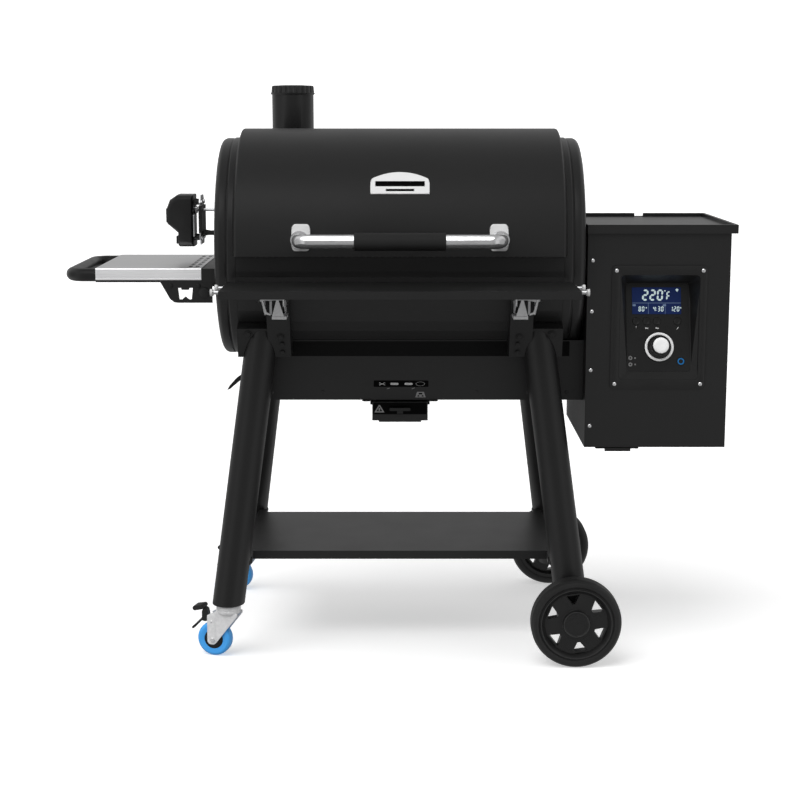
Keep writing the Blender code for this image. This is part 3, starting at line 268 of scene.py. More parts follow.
# Lighter plastic for thin rings on the wheel face: painted highlights.
PAINTED_HIGHLIGHT = plastic("painted_highlight_ring", 0.05, 0.3, 0.1, 1300.0)
TREAD = plastic("tread_rubber", 0.022, 0.5, 0.5, 700.0)
BLUE = plastic("caster_tyre_blue", 1.0, 0.36, 0.1, 1600.0, 0.05, tint=(0.065, 0.42, 1.0))
HUB = plastic("caster_hub_black", 0.01, 0.5)
SCREEN = lit("display_glass", (0.01, 0.026, 0.12), 0.22, 0.35)
DIGIT = lit("display_digit", (0.62, 0.76, 0.76), 0.55)
DIM = lit("display_dim", (0.16, 0.23, 0.36), 0.4)
RING = lit("power_ring", (0.02, 0.19, 0.5), 0.25)
MARK = plastic("printed_mark", 0.6, 0.5, 0.05, 2400.0, 0.05)
MARK_DIM = plastic("printed_mark_grey", 0.34, 0.5, 0.05, 2400.0, 0.05)
LABEL = plastic("label_film", 0.0016, 0.3, 0.05, 2400.0, 0.05, 0.06)

METALS = (STAINLESS, STAINLESS_FACE, POLISHED, BRIGHT, WHITE, ZINC, FORK, BLUE, MARK)


# Shapes: each returns (vertices, faces)


def turns(count):
    return [2 * pi * k / count for k in range(count)]


def on_axis(axis, along, first, second):
    return {"X": (along, first, second), "Y": (first, along, second), "Z": (first, second, along)}[axis]


def lathe(profile, axis="Z", centre=(0.0, 0.0), sides=64, shear=(0.0, 0.0), start=0.0, sweep=360.0):
    """A closed outline of (radius, along) points turned about an axis, all or part of the way round."""
    steps = sides if sweep >= 360.0 else sides + 1
    vertices, faces = [], []
    for i, (radius, along) in enumerate(profile):
        for k in range(steps):
            angle = radians(start + sweep * k / sides)
            vertices.append(on_axis(axis, along, centre[0] + shear[0] * along + radius * cos(angle),
                                    centre[1] + shear[1] * along + radius * sin(angle)))
        n = (i + 1) % len(profile)
        if radius == 0.0 and profile[n][0] == 0.0:
            continue
        for k in range(sides):
            m = (k + 1) % steps
            faces.append((i * steps + k, i * steps + m, n * steps + m, n * steps + k))
    return vertices, faces


def rod(radius, low, high, axis="Z", centre=(0.0, 0.0), sides=24):
    return lathe([(0.0, low), (radius, low), (radius, high), (0.0, high)], axis, centre, sides)


def collar(inner, outer, low, high, axis, centre, sides=24):
    return lathe([(inner, low), (outer, low), (outer, high), (inner, high)], axis, centre, sides)


def arc(centre, radius, start, end, steps=6):
    """Points of (a, b) along an arc, for rounded profiles."""
    return [(centre[0] + radius * cos(radians(start + (end - start) * k / steps)),
             centre[1] + radius * sin(radians(start + (end - start) * k / steps))) for k in range(steps + 1)]


def dot(x, z, radius, steps=9):
    """A small round outline."""
    return arc((x, z), radius, 0, 330, steps)


def both_ways(half):
    """Half a profile and its mirror image across along = 0."""
    return half + [(radius, -along) for radius, along in half[::-1]]


def slab(x, y, z):
    corners = [(a, b, c) for a in x for b in y for c in z]
    return corners, [(0, 1, 3, 2), (4, 6, 7, 5), (0, 4, 5, 1), (2, 3, 7, 6), (0, 2, 6, 4), (1, 5, 7, 3)]


def plate(outline, axis, low, high):
    """A closed outline drawn along an axis."""
    count = len(outline)
    vertices = [on_axis(axis, at, *point) for at in (low, high) for point in outline]
    faces = [(i, (i + 1) % count, (i + 1) % count + count, i + count) for i in range(count)]
    return vertices, faces + [tuple(range(count)), tuple(range(count, 2 * count))]


def box(x, z):
    """A rectangle as four points."""
    return [(x[0], z[0]), (x[1], z[0]), (x[1], z[1]), (x[0], z[1])]


def rounded(x, z, radius, steps=6):
    """A rectangle with round corners, as (x, z) points."""
    corners = ((x[1] - radius, z[1] - radius), (x[0] + radius, z[1] - radius),
               (x[0] + radius, z[0] + radius), (x[1] - radius, z[0] + radius))
    return [point for k, corner in enumerate(corners)
            for point in arc(corner, radius, 90 * k, 90 * k + 90, steps)]


def loft(rings, caps=True):
    """A skin through closed rings of equal length."""
    count = len(rings[0])
    vertices = [point for ring in rings for point in ring]
    faces = []
    for r in range(len(rings) - 1):
        for k in range(count):
            n = (k + 1) % count
            faces.append((r * count + k, r * count + n, (r + 1) * count + n, (r + 1) * count + k))
    if caps:
        faces += [tuple(range(count)), tuple(range((len(rings) - 1) * count, len(rings) * count))]
    return vertices, faces


def tube(points, radius, sides=20):
    """A round bar through points, its ring turning with the path."""
    path = [Vector(point) for point in points]
    rings = []
    side = None
    for i, point in enumerate(path):
        direction = (path[min(i + 1, len(path) - 1)] - path[max(i - 1, 0)]).normalized()
        side = (direction.orthogonal() if side is None
                else side - direction * side.dot(direction)).normalized()
        other = direction.cross(side)
        rings.append([tuple(point + radius * (side * cos(a) + other * sin(a))) for a in turns(sides)])
    return loft(rings)


def wire(xs, ys, z, radius, sides):
    """A straight level wire from the first x and y to the second."""
    return tube([(xs[0], ys[0], z), (xs[1], ys[1], z)], radius, sides)


def placed(shape, matrix):
    return [tuple(matrix @ Vector(v)) for v in shape[0]], shape[1]


def stood(shape, direction, spot):
    """A shape drawn upwards from z = 0, stood on a spot and turned to face a direction."""
    turn = Vector(direction).to_track_quat("Z", "Y").to_matrix().to_4x4()
    return placed(shape, Matrix.Translation(spot) @ turn)


def dome(radius, height, sides=20):
    """A low dome, such as a screw head, standing on z = 0."""
    curve = [(radius * cos(a), height * (0.25 + 0.75 * sin(a))) for a in (0.4, 0.8, 1.2)]
    return lathe([(radius, 0.0), (radius, height * 0.25)] + curve + [(0.0, height), (0.0, 0.0)], sides=sides)


def hexagon(radius, height):
    """A bolt head standing on z = 0, its top edge eased."""
    return loft([[(radius * cos(a) * share, radius * sin(a) * share, z) for a in turns(6)]
                 for share, z in ((1.0, 0.0), (1.0, height * 0.8), (0.88, height))])


def round_edges(thing, width, angle):
    edge = thing.modifiers.new("edge", "BEVEL")
    edge.width = width
    edge.segments = 3
    edge.limit_method = "ANGLE"
    edge.angle_limit = radians(angle)
    return edge


def build(name, shapes, material, body="chassis", replaces=None, bevel=0.0, angle=32.0):
    """Joins shapes into one shown piece in the shared frame."""
    vertices, faces = [], []
    for shape in shapes:
        start = len(vertices)
        vertices += shape[0]
        faces += [tuple(start + i for i in face) for face in shape[1]]
    mesh = bpy.data.meshes.new(name)
    mesh.from_pydata([Vector(v) + SHIFT for v in vertices], [], faces)
    work = bmesh.new()
    work.from_mesh(mesh)
    bmesh.ops.remove_doubles(work, verts=work.verts, dist=1e-6)
    bmesh.ops.recalc_face_normals(work, faces=work.faces)
    work.to_mesh(mesh)
    work.free()
    mesh.shade_smooth()
    mesh.set_sharp_from_angle(angle=radians(angle))
    mesh.materials.append(material)
    piece = bpy.data.objects.new(name, mesh)
    bpy.context.scene.collection.objects.link(piece)
    if bevel:
        round_edges(piece, bevel, angle).harden_normals = False
    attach(piece, body)
    if replaces:
        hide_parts(replaces)


def paint(material, *names, bevel=0.0, sharp=30.0):
    """Puts a material on CAD nodes that are shown as they are, and rounds their sharp edges."""
    for name in names:
        data = NODES[name].data
        data.materials.clear()
        data.materials.append(material)
        data.shade_smooth()
        data.set_sharp_from_angle(angle=radians(sharp))
        if bevel:
            round_edges(NODES[name], bevel, 50.0)


# Barrel, end caps and lid


def barrel_skin(profile, start, end, sides=110):
    """A closed profile of (radius, x), swept around the barrel from one angle to another.

    The angle is 0 at the front and 90 at the top.
    """
    vertices, faces = lathe(profile, "X", (0.0, BARREL_Z), sides, start=180.0 - end, sweep=end - start)
    steps = sides + 1
    return vertices, faces + [tuple(i * steps + last for i in range(len(profile))) for last in (0, sides)]


def make_caps():
    rim = [(0.0, 0.424), (0.08, 0.4237), (0.15, 0.4227), (0.205, 0.4212), (0.235, 0.4201)]
    rim += arc((0.2415, 0.4055), 0.014, 80, 0, 14)
    rim += [(0.2555, 0.396), (0.255, 0.3935), (0.2538, 0.3925), (0.2538, 0.3912), (0.2552, 0.3902),
            (0.2566, 0.389), (0.257, 0.387), (0.257, CAP_START)]
    inside = [(0.255, CAP_START), (0.255, 0.388), (0.2535, 0.393), (0.2535, 0.406), (0.25, 0.413),
              (0.2395, 0.4175), (0.0, 0.4215)]
    for side, label in SIDES:
        profile = [(radius, side * along) for radius, along in rim + inside]
        build(f"{label}_end_cap_shell", [lathe(profile, "X", (0.0, BARREL_Z), 144)], PAINT_CAP,
              replaces=f"{label}_end_cap", angle=50.0)


def make_lid():
    def section(lip, shoulder, radius, steps):
        return both_ways([(0.2597, -lip), (0.269, -shoulder)] + arc((0.272, -0.366), radius, -60, 0, steps))

    outer, inner = section(0.3765, 0.3735, 0.006, 6), section(0.375, 0.3718, 0.0042, 4)
    shell = barrel_skin(outer + inner[::-1], -0.5, 125.0)
    leaf = [(0.1505, 1.1668), (0.16, 1.1606), (0.179, 1.165), (0.179, 1.177), (0.164, 1.179)]
    leaves = []
    for x in (-0.32, 0.312):
        leaves += [plate(leaf, "X", x, x + 0.01), collar(0.0046, 0.0085, x, x + 0.01, "X", (0.17, 1.17))]
    build("lid_shell", [shell], PAINT_LID, "lid", "lid", angle=40.0)
    build("lid_leaves", leaves, PAINT, "lid", bevel=0.0008)


def on_lid(x, along, lift):
    """A point on the lid: along is the distance up its curve from its front edge."""
    angle = along / LID_R
    return (x, -(LID_R + lift) * cos(angle), BARREL_Z + (LID_R + lift) * sin(angle))


def lid_patch(low, high, bottom, top, lift, columns=24, rows=6):
    """A raised patch that follows the lid; bottom and top are functions of x."""
    xs = [low + (high - low) * k / columns for k in range(columns + 1)]

    def end(x, inwards, steps, height):
        return [on_lid(x + inwards, bottom(x) + (top(x) - bottom(x)) * k / rows, height) for k in steps]

    rings = []
    for ease, height in ((0.0, 0.0), (0.0, lift - 0.0006), (LID_EASE, lift)):
        rings.append([on_lid(x, bottom(x) + ease, height) for x in xs]
                     + end(high, -ease, range(1, rows), height)
                     + [on_lid(x, top(x) - ease, height) for x in xs[::-1]]
                     + end(low, ease, range(rows - 1, 0, -1), height))
    vertices, faces = loft(rings, caps=False)
    start = len(vertices)
    for x in xs:
        x_in = min(max(x, low + LID_EASE), high - LID_EASE) if x in (xs[0], xs[-1]) else x
        for k in range(rows + 1):
            rise = LID_EASE + (top(x) - bottom(x) - 2 * LID_EASE) * k / rows
            vertices.append(on_lid(x_in, bottom(x) + rise, lift))
    for c in range(columns):
        for a in range(start + c * (rows + 1), start + c * (rows + 1) + rows):
            faces.append((a, a + rows + 1, a + rows + 2, a + 1))
    return vertices, faces


def make_badge():
    half = 0.0665

    def arch(x):
        share = min(abs(x) / half, 1.0)
        return 0.1785 + 0.02 * (1.0 - share ** 2) - (max(0.0, share - 0.93) * half) ** 2 / 0.0047

    build("lid_badge", [lid_patch(-half, half, lambda x: 0.141, arch, 0.0022, 40, 8)], BRIGHT, "lid",
          angle=25.0)
    bars = [lid_patch(-0.056, 0.056, lambda x: 0.1595, lambda x: 0.1735, 0.0027, 20, 3),
            lid_patch(-0.032, 0.032, lambda x: 0.1472, lambda x: 0.1535, 0.0027, 16, 2)]
    build("lid_badge_bars", bars, LABEL, "lid")


def make_handle():
    bend, corner = 0.026, 0.008
    path = [(HANDLE_X, -0.2765, HANDLE_Z), (HANDLE_X, -0.3, HANDLE_Z)]
    path += [(x, y, HANDLE_Z) for x, y in arc((HANDLE_X - bend, HANDLE_Y + bend), bend, 0, -90, 12)]
    path += [(-x, y, z) for x, y, z in path[::-1]]
    build("handle_bar", [tube(path, 0.016, 40)], POLISHED, "lid", "lid_handle", angle=60.0)
    grip = [(0.0163, -0.101), (0.0185, -0.101)] + arc((0.018, -0.0985), 0.002, -60, 0, 4)
    grip += [(0.02 - 0.00025 * (k % 2), -0.0975 + 0.195 * k / 32) for k in range(1, 32)]
    grip += arc((0.018, 0.0985), 0.002, 0, 60, 4) + [(0.0185, 0.101), (0.0163, 0.101)]
    build("handle_rubber", [lathe(grip, "X", (HANDLE_Y, HANDLE_Z), 56)], GRIP, "lid", "handle_grip",
          angle=50.0)
    for side, label in SIDES:
        low, high = sorted((side * 0.2005, side * 0.242))

        def ease(x):
            return max(0.0, corner - min(x - low, high - x)) ** 2 / corner

        patch = lid_patch(low, high, lambda x: 0.0105 + ease(x), lambda x: 0.07 - ease(x), 0.005, 16, 10)
        build(f"handle_plate_{label}", [patch], BRIGHT, "lid", angle=25.0)
        ring = [(0.0162, -0.29), (0.02, -0.29), (0.0205, -0.288), (0.0205, -0.279), (0.0162, -0.279)]
        build(f"handle_collar_{label}", [lathe(ring, "Y", (side * HANDLE_X, HANDLE_Z), 40)], POLISHED, "lid")


def make_barrel_inside():
    """Cooking grids and warming rack as round bars."""
    count = 21
    for label, low, high in (("left", -0.344, -0.002), ("right", 0.002, 0.344)):
        ends = (low + 0.003, high - 0.003)
        bars = [wire((x, x), (-0.2335, 0.2335), GRID_Z, 0.0029, 12) for x in ends]
        bars += [wire(ends, (y, y), GRID_Z, 0.0029, 12) for y in (-0.2325, 0.0, 0.2325)]
        for k in range(1, count):
            x = low + (high - low) * k / count
            bars.append(wire((x, x), (-0.2325, 0.2325), GRID_Z, 0.0026, 10))
        build(f"grid_bars_{label}", bars, IRON, f"cooking_grid_{label}", f"cooking_grid_{label}")
    wires = [wire((-0.338, 0.338), (y, y), RACK_Z, 0.0028, 12) for y in (0.0328, 0.122, 0.2112)]
    for k in range(35):
        x = -0.3375 + 0.675 * k / 34
        wires.append(wire((x, x), (0.0328, 0.2112), RACK_Z, 0.002, 8))
    build("rack_wires", wires, STAINLESS, "warming_rack", "warming_rack")


# Chimney


def make_chimney():
    place = (CHIMNEY_X, CHIMNEY_Y)
    foot, reach = 0.976, BARREL_R + 0.0001
    profile = [(0.0087 * k, foot) for k in range(6)]
    profile += [(0.0523, foot), (0.0523, 1.296), (0.0509, 1.296), (0.0509, foot + 0.0015)]
    profile += [(0.0505 - 0.0101 * k, foot + 0.0015) for k in range(6)]
    points, faces = lathe(profile, "Z", place, 96)
    points = [(x, y, max(z, BARREL_Z + sqrt(reach ** 2 - y * y)) if y < reach else z) for x, y, z in points]
    bar = slab((CHIMNEY_X - 0.0515, CHIMNEY_X + 0.0515), (CHIMNEY_Y - 0.006, CHIMNEY_Y + 0.006),
               (1.24, 1.243))
    build("chimney_skin", [(points, faces), bar], PAINT_TOP, replaces="chimney_pipe", angle=40.0)
    seam = slab((CHIMNEY_X - 0.004, CHIMNEY_X + 0.004), (CHIMNEY_Y + 0.0515, CHIMNEY_Y + 0.0525),
                (0.99, 1.292))
    build("chimney_seam", [seam], PAINT, bevel=0.0003)

    def ring(radius, z, flute=0.0):
        sizes = [(a, radius - flute * (0.5 + 0.5 * cos(a * 24)) ** 2) for a in turns(144)]
        return [(CHIMNEY_X + size * cos(a), CHIMNEY_Y + size * sin(a), z) for a, size in sizes]

    crown = [ring(*step) for step in ((0.0498, 1.3125), (0.0528, 1.2935), (0.0542, 1.2935), (0.0553, 1.295),
                                      (0.0553, 1.2975), (0.054, 1.299, 0.0026), (0.053, 1.313, 0.0026),
                                      (0.0515, 1.3152, 0.0026), (0.048, 1.3162))]
    top = [(0.0, 1.317), (0.03, 1.317), (0.0345, 1.3166), (0.0352, 1.315), (0.0, 1.315)]
    thread = [(0.0035 if k % 2 else 0.0029, 1.209 + 0.001 * k) for k in range(104)]
    screw = [(0.0, 1.2055), (0.003, 1.2055), (0.0035, 1.207)] + thread + [(0.0, 1.3135)]
    build("chimney_crown", [loft(crown), lathe(top, "Z", place, 72)], PAINT_TOP, "chimney_cap", "chimney_cap",
          angle=40.0)
    build("chimney_screw", [lathe(screw, "Z", place, 20)], ZINC, "chimney_cap")


# Legs and brackets


def leg_centre(side_x, side_y, z):
    drop = LEG_TOP - z
    return (side_x * (0.315 + LEG_LEAN_X * drop), side_y * (0.197 + LEG_LEAN_Y * drop))


def make_legs():
    """Splayed tubes, cut to the barrel at their tops; the wheel legs carry an axle."""
    for side_x, across in SIDES:
        for side_y, depth in ENDS:
            end = 0.075 if side_x > 0 else 0.1255
            profile = [(0.0068, end + 0.0006)] + arc((LEG_R - 0.0025, end + 0.0031), 0.0025, -90, 0, 5)
            profile += [(LEG_R, end + 0.1 * k) for k in range(1, 6)]
            profile += [(LEG_R, LEG_TOP), (0.0357, LEG_TOP), (0.0357, end + 0.004), (0.0068, end + 0.004)]
            points, faces = lathe(profile, "Z", leg_centre(side_x, side_y, 0.0), 72,
                                  (-side_x * LEG_LEAN_X, -side_y * LEG_LEAN_Y))
            points = [(x, y, min(z, BARREL_Z - sqrt(BARREL_R ** 2 - y * y)) if z > 0.7 else z)
                      for x, y, z in points]
            build(f"leg_{depth}_{across}_tube", [(points, faces)], PAINT_LEG,
                  replaces=f"leg_{depth}_{across}", angle=50.0)
    axles = []
    for side, _ in ENDS:
        axles.append(rod(0.0059, side * 0.272, side * 0.3485, "Y", (WHEEL_X, WHEEL_R), 32))
        axles.append(collar(0.006, 0.0125, side * 0.3105, side * 0.3125, "Y", (WHEEL_X, WHEEL_R), 32))
    build("wheel_axles", axles, ZINC, angle=40.0)


def make_bracket_bolts():
    lean = atan2(0.021, 0.068)
    normal = (0.0, -cos(lean), sin(lean) * 0.3)
    bolts, nuts, screws = [], [], []

    def on_flange(z):
        return -0.2623 + (0.8 - z) * 0.459 - 0.003

    for side, _ in SIDES:
        for x, y, z in ((0.3465, -0.239 + (0.765 - 0.752) * 0.309, 0.752), (0.272, on_flange(0.746), 0.746)):
            bolts += [stood(shape, normal, (side * x, y, z))
                      for shape in (hexagon(0.0065, 0.0045), rod(0.0085, 0.0, 0.001))]
        nuts += [stood(hexagon(0.0055, 0.004), normal, (side * 0.269, on_flange(z), z))
                 for z in (0.728, 0.708)]
        for end, _ in ENDS:
            cx, cy = leg_centre(side, end, 0.221)
            screws.append(stood(dome(0.006, 0.003), (-side, 0, 0), (cx - side * 0.0372, cy, 0.221)))
    build("bracket_bolts", bolts, PAINT_DARK, bevel=0.0004)
    build("bracket_nuts", nuts, PAINT_DARK, bevel=0.0004)
    build("shelf_screws", screws, PAINT_DARK)
    paint(PAINT_DARK, *(f"{end}_bracket_{side}" for _, end in ENDS for _, side in SIDES), bevel=0.0008)
    paint(PAINT, "barrel_body")
    paint(PAINT, "bottom_shelf", bevel=0.0009)


# Wheels and casters


def wheel_disc(centre):
    """Quads that cover the wheel's disc between its hub and rim, six wedge windows left open."""
    rows = ((0.03, (30, 18, 6)), (0.0455, (30, 17, 4)), (0.0683, (30, 22, 14)), (0.0725, (30, 22, 14)))
    window_row, window_cell = 1, 2
    cells = []
    for k in range(6):
        rings = []
        for radius, (wide, mid, near) in rows:
            angles = [radians(38.0 + 60.0 * k + a) for a in (-wide, -mid, -near, near, mid, wide)]
            rings.append([(centre[0] + radius * cos(a), centre[1] + radius * sin(a)) for a in angles])
        for row, (first, second) in enumerate(zip(rings, rings[1:])):
            cells += [[first[i], first[i + 1], second[i + 1], second[i]] for i in range(5)
                      if (row, i) != (window_row, window_cell)]
    return cells


def plate_with_windows(cells, low, high):
    """A slab made of quads in the XZ plane; only the sides that no two quads share are walls."""
    points, index, rings = [], {}, []
    for cell in cells:
        keys = [(round(x, 6), round(z, 6)) for x, z in cell]
        for key, point in zip(keys, cell):
            if key not in index:
                index[key] = len(points)
                points.append(point)
        rings.append([index[key] for key in keys])
    count = len(points)
    sides = [(a, b) for ring in rings for a, b in zip(ring, ring[1:] + ring[:1])]
    uses = Counter(frozenset(side) for side in sides)
    faces = [tuple(ring) for ring in rings] + [tuple(i + count for i in ring[::-1]) for ring in rings]
    faces += [(a, b, b + count, a + count) for a, b in sides if uses[frozenset((a, b))] == 1]
    return [(x, y, z) for y in (low, high) for x, z in points], faces


def make_wheels():
    near, far = 0.3145, 0.362
    centre = (WHEEL_X, WHEEL_R)
    tread, shoulder = WHEEL_R - 0.0012, WHEEL_R - 0.001
    tyre = [(0.083, near + 0.004)] + arc((0.0925, near + 0.011), 0.011, 220, 300)
    tyre += [(shoulder, near + 0.0075), (WHEEL_R, near + 0.012)]
    for groove in (near + 0.016, near + 0.0222, near + 0.0284):
        tyre += [(WHEEL_R, groove), (tread, groove + 0.0006), (tread, groove + 0.0018),
                 (WHEEL_R, groove + 0.0024)]
    tyre += [(WHEEL_R, far - 0.012), (shoulder, far - 0.0075)] + arc((0.0925, far - 0.011), 0.011, 60, 140)
    tyre += [(0.083, far - 0.004)]
    rim = [(0.0715, near + 0.014), (0.0715, far - 0.0105), (0.0725, far - 0.0085), (0.076, far - 0.0046),
           (0.0775, far - 0.0024), (0.0795, far - 0.0004), (0.0815, far - 0.0004), (0.0825, far - 0.003),
           (0.0845, far - 0.0032), (0.0865, far - 0.0014), (0.088, far - 0.004), (0.088, near + 0.004),
           (0.076, near + 0.003)]
    hub = [(0.0, far - 0.0022), (0.0262, far - 0.0022), (0.028, far - 0.0006), (0.03, far - 0.0006),
           (0.0308, far - 0.003), (0.0318, far - 0.009), (0.033, far - 0.0098), (0.033, near + 0.012),
           (0.03, near + 0.001), (0.0068, near + 0.001), (0.0068, near + 0.035), (0.0, near + 0.035)]
    # Thin rings at the rim's and hub's outer edges, in lighter plastic: painted highlights.
    edge = [(0.0795, far - 0.0006), (0.08, far - 0.0001), (0.081, far - 0.0001), (0.0815, far - 0.0006)]
    crest = [(radius - 0.0514, along) for radius, along in edge]
    for side, label in ENDS:
        body = f"wheel_{label}"

        def spun(profile, sides):
            return lathe([(radius, side * along) for radius, along in profile], "Y", centre, sides)

        build(f"{body}_tyre", [spun(tyre, 120)], TREAD, body, body, angle=24.0)
        build(f"{body}_rim", [spun(rim, 96), spun(hub, 72)], WHEEL, body, angle=35.0)
        build(f"{body}_painted_highlights", [spun(edge, 96), spun(crest, 72)], PAINTED_HIGHLIGHT, body, angle=60.0)
        faces = sorted((side * (near + 0.0145), side * (far - 0.0105)))
        build(f"{body}_disc", [plate_with_windows(wheel_disc(centre), *faces)], WHEEL, body, bevel=0.0008)


def make_casters():
    axle = (0.034, CASTER_R)
    tyre = both_ways([(0.0225, -0.012)] + arc((0.0325, -0.006), 0.008, -90, 0, 7))
    hub = both_ways([(0.0048, -0.0138), (0.0105, -0.0138), (0.012, -0.0118), (0.0205, -0.0108),
                     (0.0227, -0.0126)])
    cheek = [(-0.0275, 0.1075), (0.03, 0.1075), (0.047, 0.0985), (0.0472, 0.0385)]
    cheek += arc((0.0375, 0.0385), 0.0097, 0, -90) + [(0.031, 0.0288), (0.0262, 0.0325), (-0.0275, 0.101)]
    rib = box((0.026, 0.0272), (0.033, 0.1075))
    strap = [(0.0295, 0.03), (0.043, 0.03), (0.043, 0.096), (0.0295, 0.104)]
    cheeks = []
    for outline, ys, thick in ((cheek, (-0.019, 0.0165), 0.0025), (rib, (-0.0198, 0.0188), 0.001),
                               (strap, (-0.0197, 0.0189), 0.0008)):
        cheeks += [plate(outline, "Y", y, y + thick) for y in ys]
    cheeks.append(slab((-0.02, 0.03), (-0.0175, 0.0175), (0.105, 0.1075)))
    head = lathe([(0.0, 0.1042), (0.0255, 0.1042), (0.0272, 0.1062), (0.0284, 0.109), (0.0284, 0.1112),
                  (0.0274, 0.112), (0.0274, 0.1135), (0.0284, 0.1145), (0.0284, 0.122), (0.027, 0.1245),
                  (0.0, 0.125)], sides=56)
    bolts = []
    for way in (-1, 1):
        bolts.append(stood(hexagon(0.0062, 0.0036), (0, way, 0), (axle[0], way * 0.019, CASTER_R)))
        bolts.append(stood(dome(0.003, 0.0016, 16), (0, way, 0), (0.037, way * 0.019, 0.0835)))
    body = [(0.0485, 0.083), (0.049, 0.099), (0.052, 0.111), (0.06, 0.113), (0.064, 0.104), (0.064, 0.093),
            (0.064, 0.082), (0.056, 0.08)]
    pad = arc((0.062, 0.1155), 0.005, 80, 260, 8) + arc((0.079, 0.112), 0.0058, 260, 440, 8)
    lever = [(0.059, 0.088), (0.064, 0.09), (0.078, 0.0755), (0.0905, 0.064), (0.0905, 0.059), (0.086, 0.06)]
    pedal = [plate(outline, "Y", -half, half) for outline, half in ((body, 0.009), (pad, 0.0145),
                                                                    (lever, 0.006))]
    grips = [plate(dot(0.063 + 0.004 * k, 0.1203 - 0.0009 * k, 0.001, 8), "Y", -0.0125, 0.0125)
             for k in range(5)]
    for side, label in ENDS:
        foot = (*leg_centre(-1, side, 0.1255), 0.0)
        place = Matrix.Translation(foot) @ Matrix.Rotation(radians(CASTER_TURN), 4, "Z")

        def put(shapes):
            return [placed(shape, place) for shape in shapes]

        wheel, fork, brake = (f"caster_{piece}_{label}" for piece in ("wheel", "fork", "brake"))
        build(f"{wheel}_tyre", put([lathe(tyre, "Y", axle, 88)]), BLUE, wheel, wheel, angle=40.0)
        build(f"{wheel}_hub", put([lathe(hub, "Y", axle, 64)]), HUB, wheel, angle=35.0)
        build(f"{fork}_cheeks", put(cheeks), FORK, fork, fork, bevel=0.0006)
        build(f"{fork}_head", put([head]), FORK, fork, angle=28.0)
        build(f"{fork}_bolts", put(bolts), POLISHED, fork, bevel=0.0004)
        build(f"{brake}_pedal", put(pedal), PLASTIC, brake, brake, bevel=0.0012)
        build(f"{brake}_grips", put(grips), PLASTIC, brake)


# Housing, drawer and what hangs under the barrel


def films(outlines, y, thickness=0.0004):
    """Thin films on an upright face at y, drawn from outlines of (x, z)."""
    return [plate(outline, "Y", y - thickness, y) for outline in outlines]


def make_housing():
    face, label_z = -HOUSING_Y - 0.0002, 0.625
    build("housing_label", films([rounded((-0.0615, 0.0665), (0.6178, 0.633), 0.0015, 3)], face), LABEL)
    marks = [rounded((x, x + 0.019), (label_z - 0.0025, label_z + 0.0025), 0.002, 4)
             for x in (-0.0225, 0.0105)]
    for tilt in (-1, 1):
        marks.append([(x, label_z + tilt * rise) for x, rise in ((-0.048, -0.0035), (-0.035, 0.0025),
                                                                 (-0.0345, 0.0038), (-0.049, -0.0022))])
    build("housing_marks", films(marks, face - 0.0004), MARK)
    points, faces = collar(0.0095, 0.0108, face - 0.0009, face - 0.0004, "Y", (0.0475, label_z), 40)
    signs = [([(x, y, label_z + (z - label_z) * 0.45) for x, y, z in points], faces)]
    signs += films([[(x, 0.6125), (x + 0.007, 0.6145), (x + 0.0074, 0.616), (x + 0.0004, 0.614)]
                    for x in (-0.031, 0.027)], face)
    signs += films([[(0.036, 0.593), (0.06, 0.593), (0.056, 0.606), (0.04, 0.606)]], face)
    fill = [[(x, 0.595), (x + 0.005, 0.595), (x + 0.0042, 0.598), (x + 0.0008, 0.598)]
            for x in (0.0405, 0.0505)]
    fill.append([(0.0435, 0.6), (0.0525, 0.6), (0.052, 0.6035), (0.044, 0.6035)])
    build("housing_signs", signs, MARK_DIM)
    build("housing_sign_fill", films(fill, face - 0.0004), LABEL)
    feet = [slab(span, (-0.163, -0.156), (0.5838, 0.5872)) for span in ((-0.087, -0.07), (0.07, 0.087))]
    build("housing_feet", feet, PAINT_DARK, bevel=0.0014)
    hook = [(-0.342, 0.652), (-0.37, 0.644), (-0.386, 0.633), (-0.403, 0.614), (-0.4085, 0.604),
            (-0.4, 0.608), (-0.38, 0.625), (-0.365, 0.636), (-0.342, 0.644)]
    build("housing_hook", [plate(hook, "Y", -0.125, -0.115)], PAINT_DARK, bevel=0.001)
    rivets = [stood(dome(0.0045, 0.0016, 18), (0, side, 0), (x, side * HOUSING_Y, 0.605))
              for x in (-0.3, -0.18, 0.18, 0.3, 0.39) for side in (-1, 1)]
    build("housing_rivets", rivets, PAINT)
    # A near-black band on the housing front just under the barrel: painted shade of the recess there.
    build("housing_painted_shade_band", [slab((-0.338, 0.395), (-0.1588, -0.157), (0.6905, 0.7255))], SHADE, bevel=0.0005)
    paint(PAINT, "lower_housing", bevel=0.0008)
    paint(MILL, "auger_tube", "auger_motor", "fire_pot", "grease_tray", "pellet_bin")
    paint(INNER, "heat_diffuser")


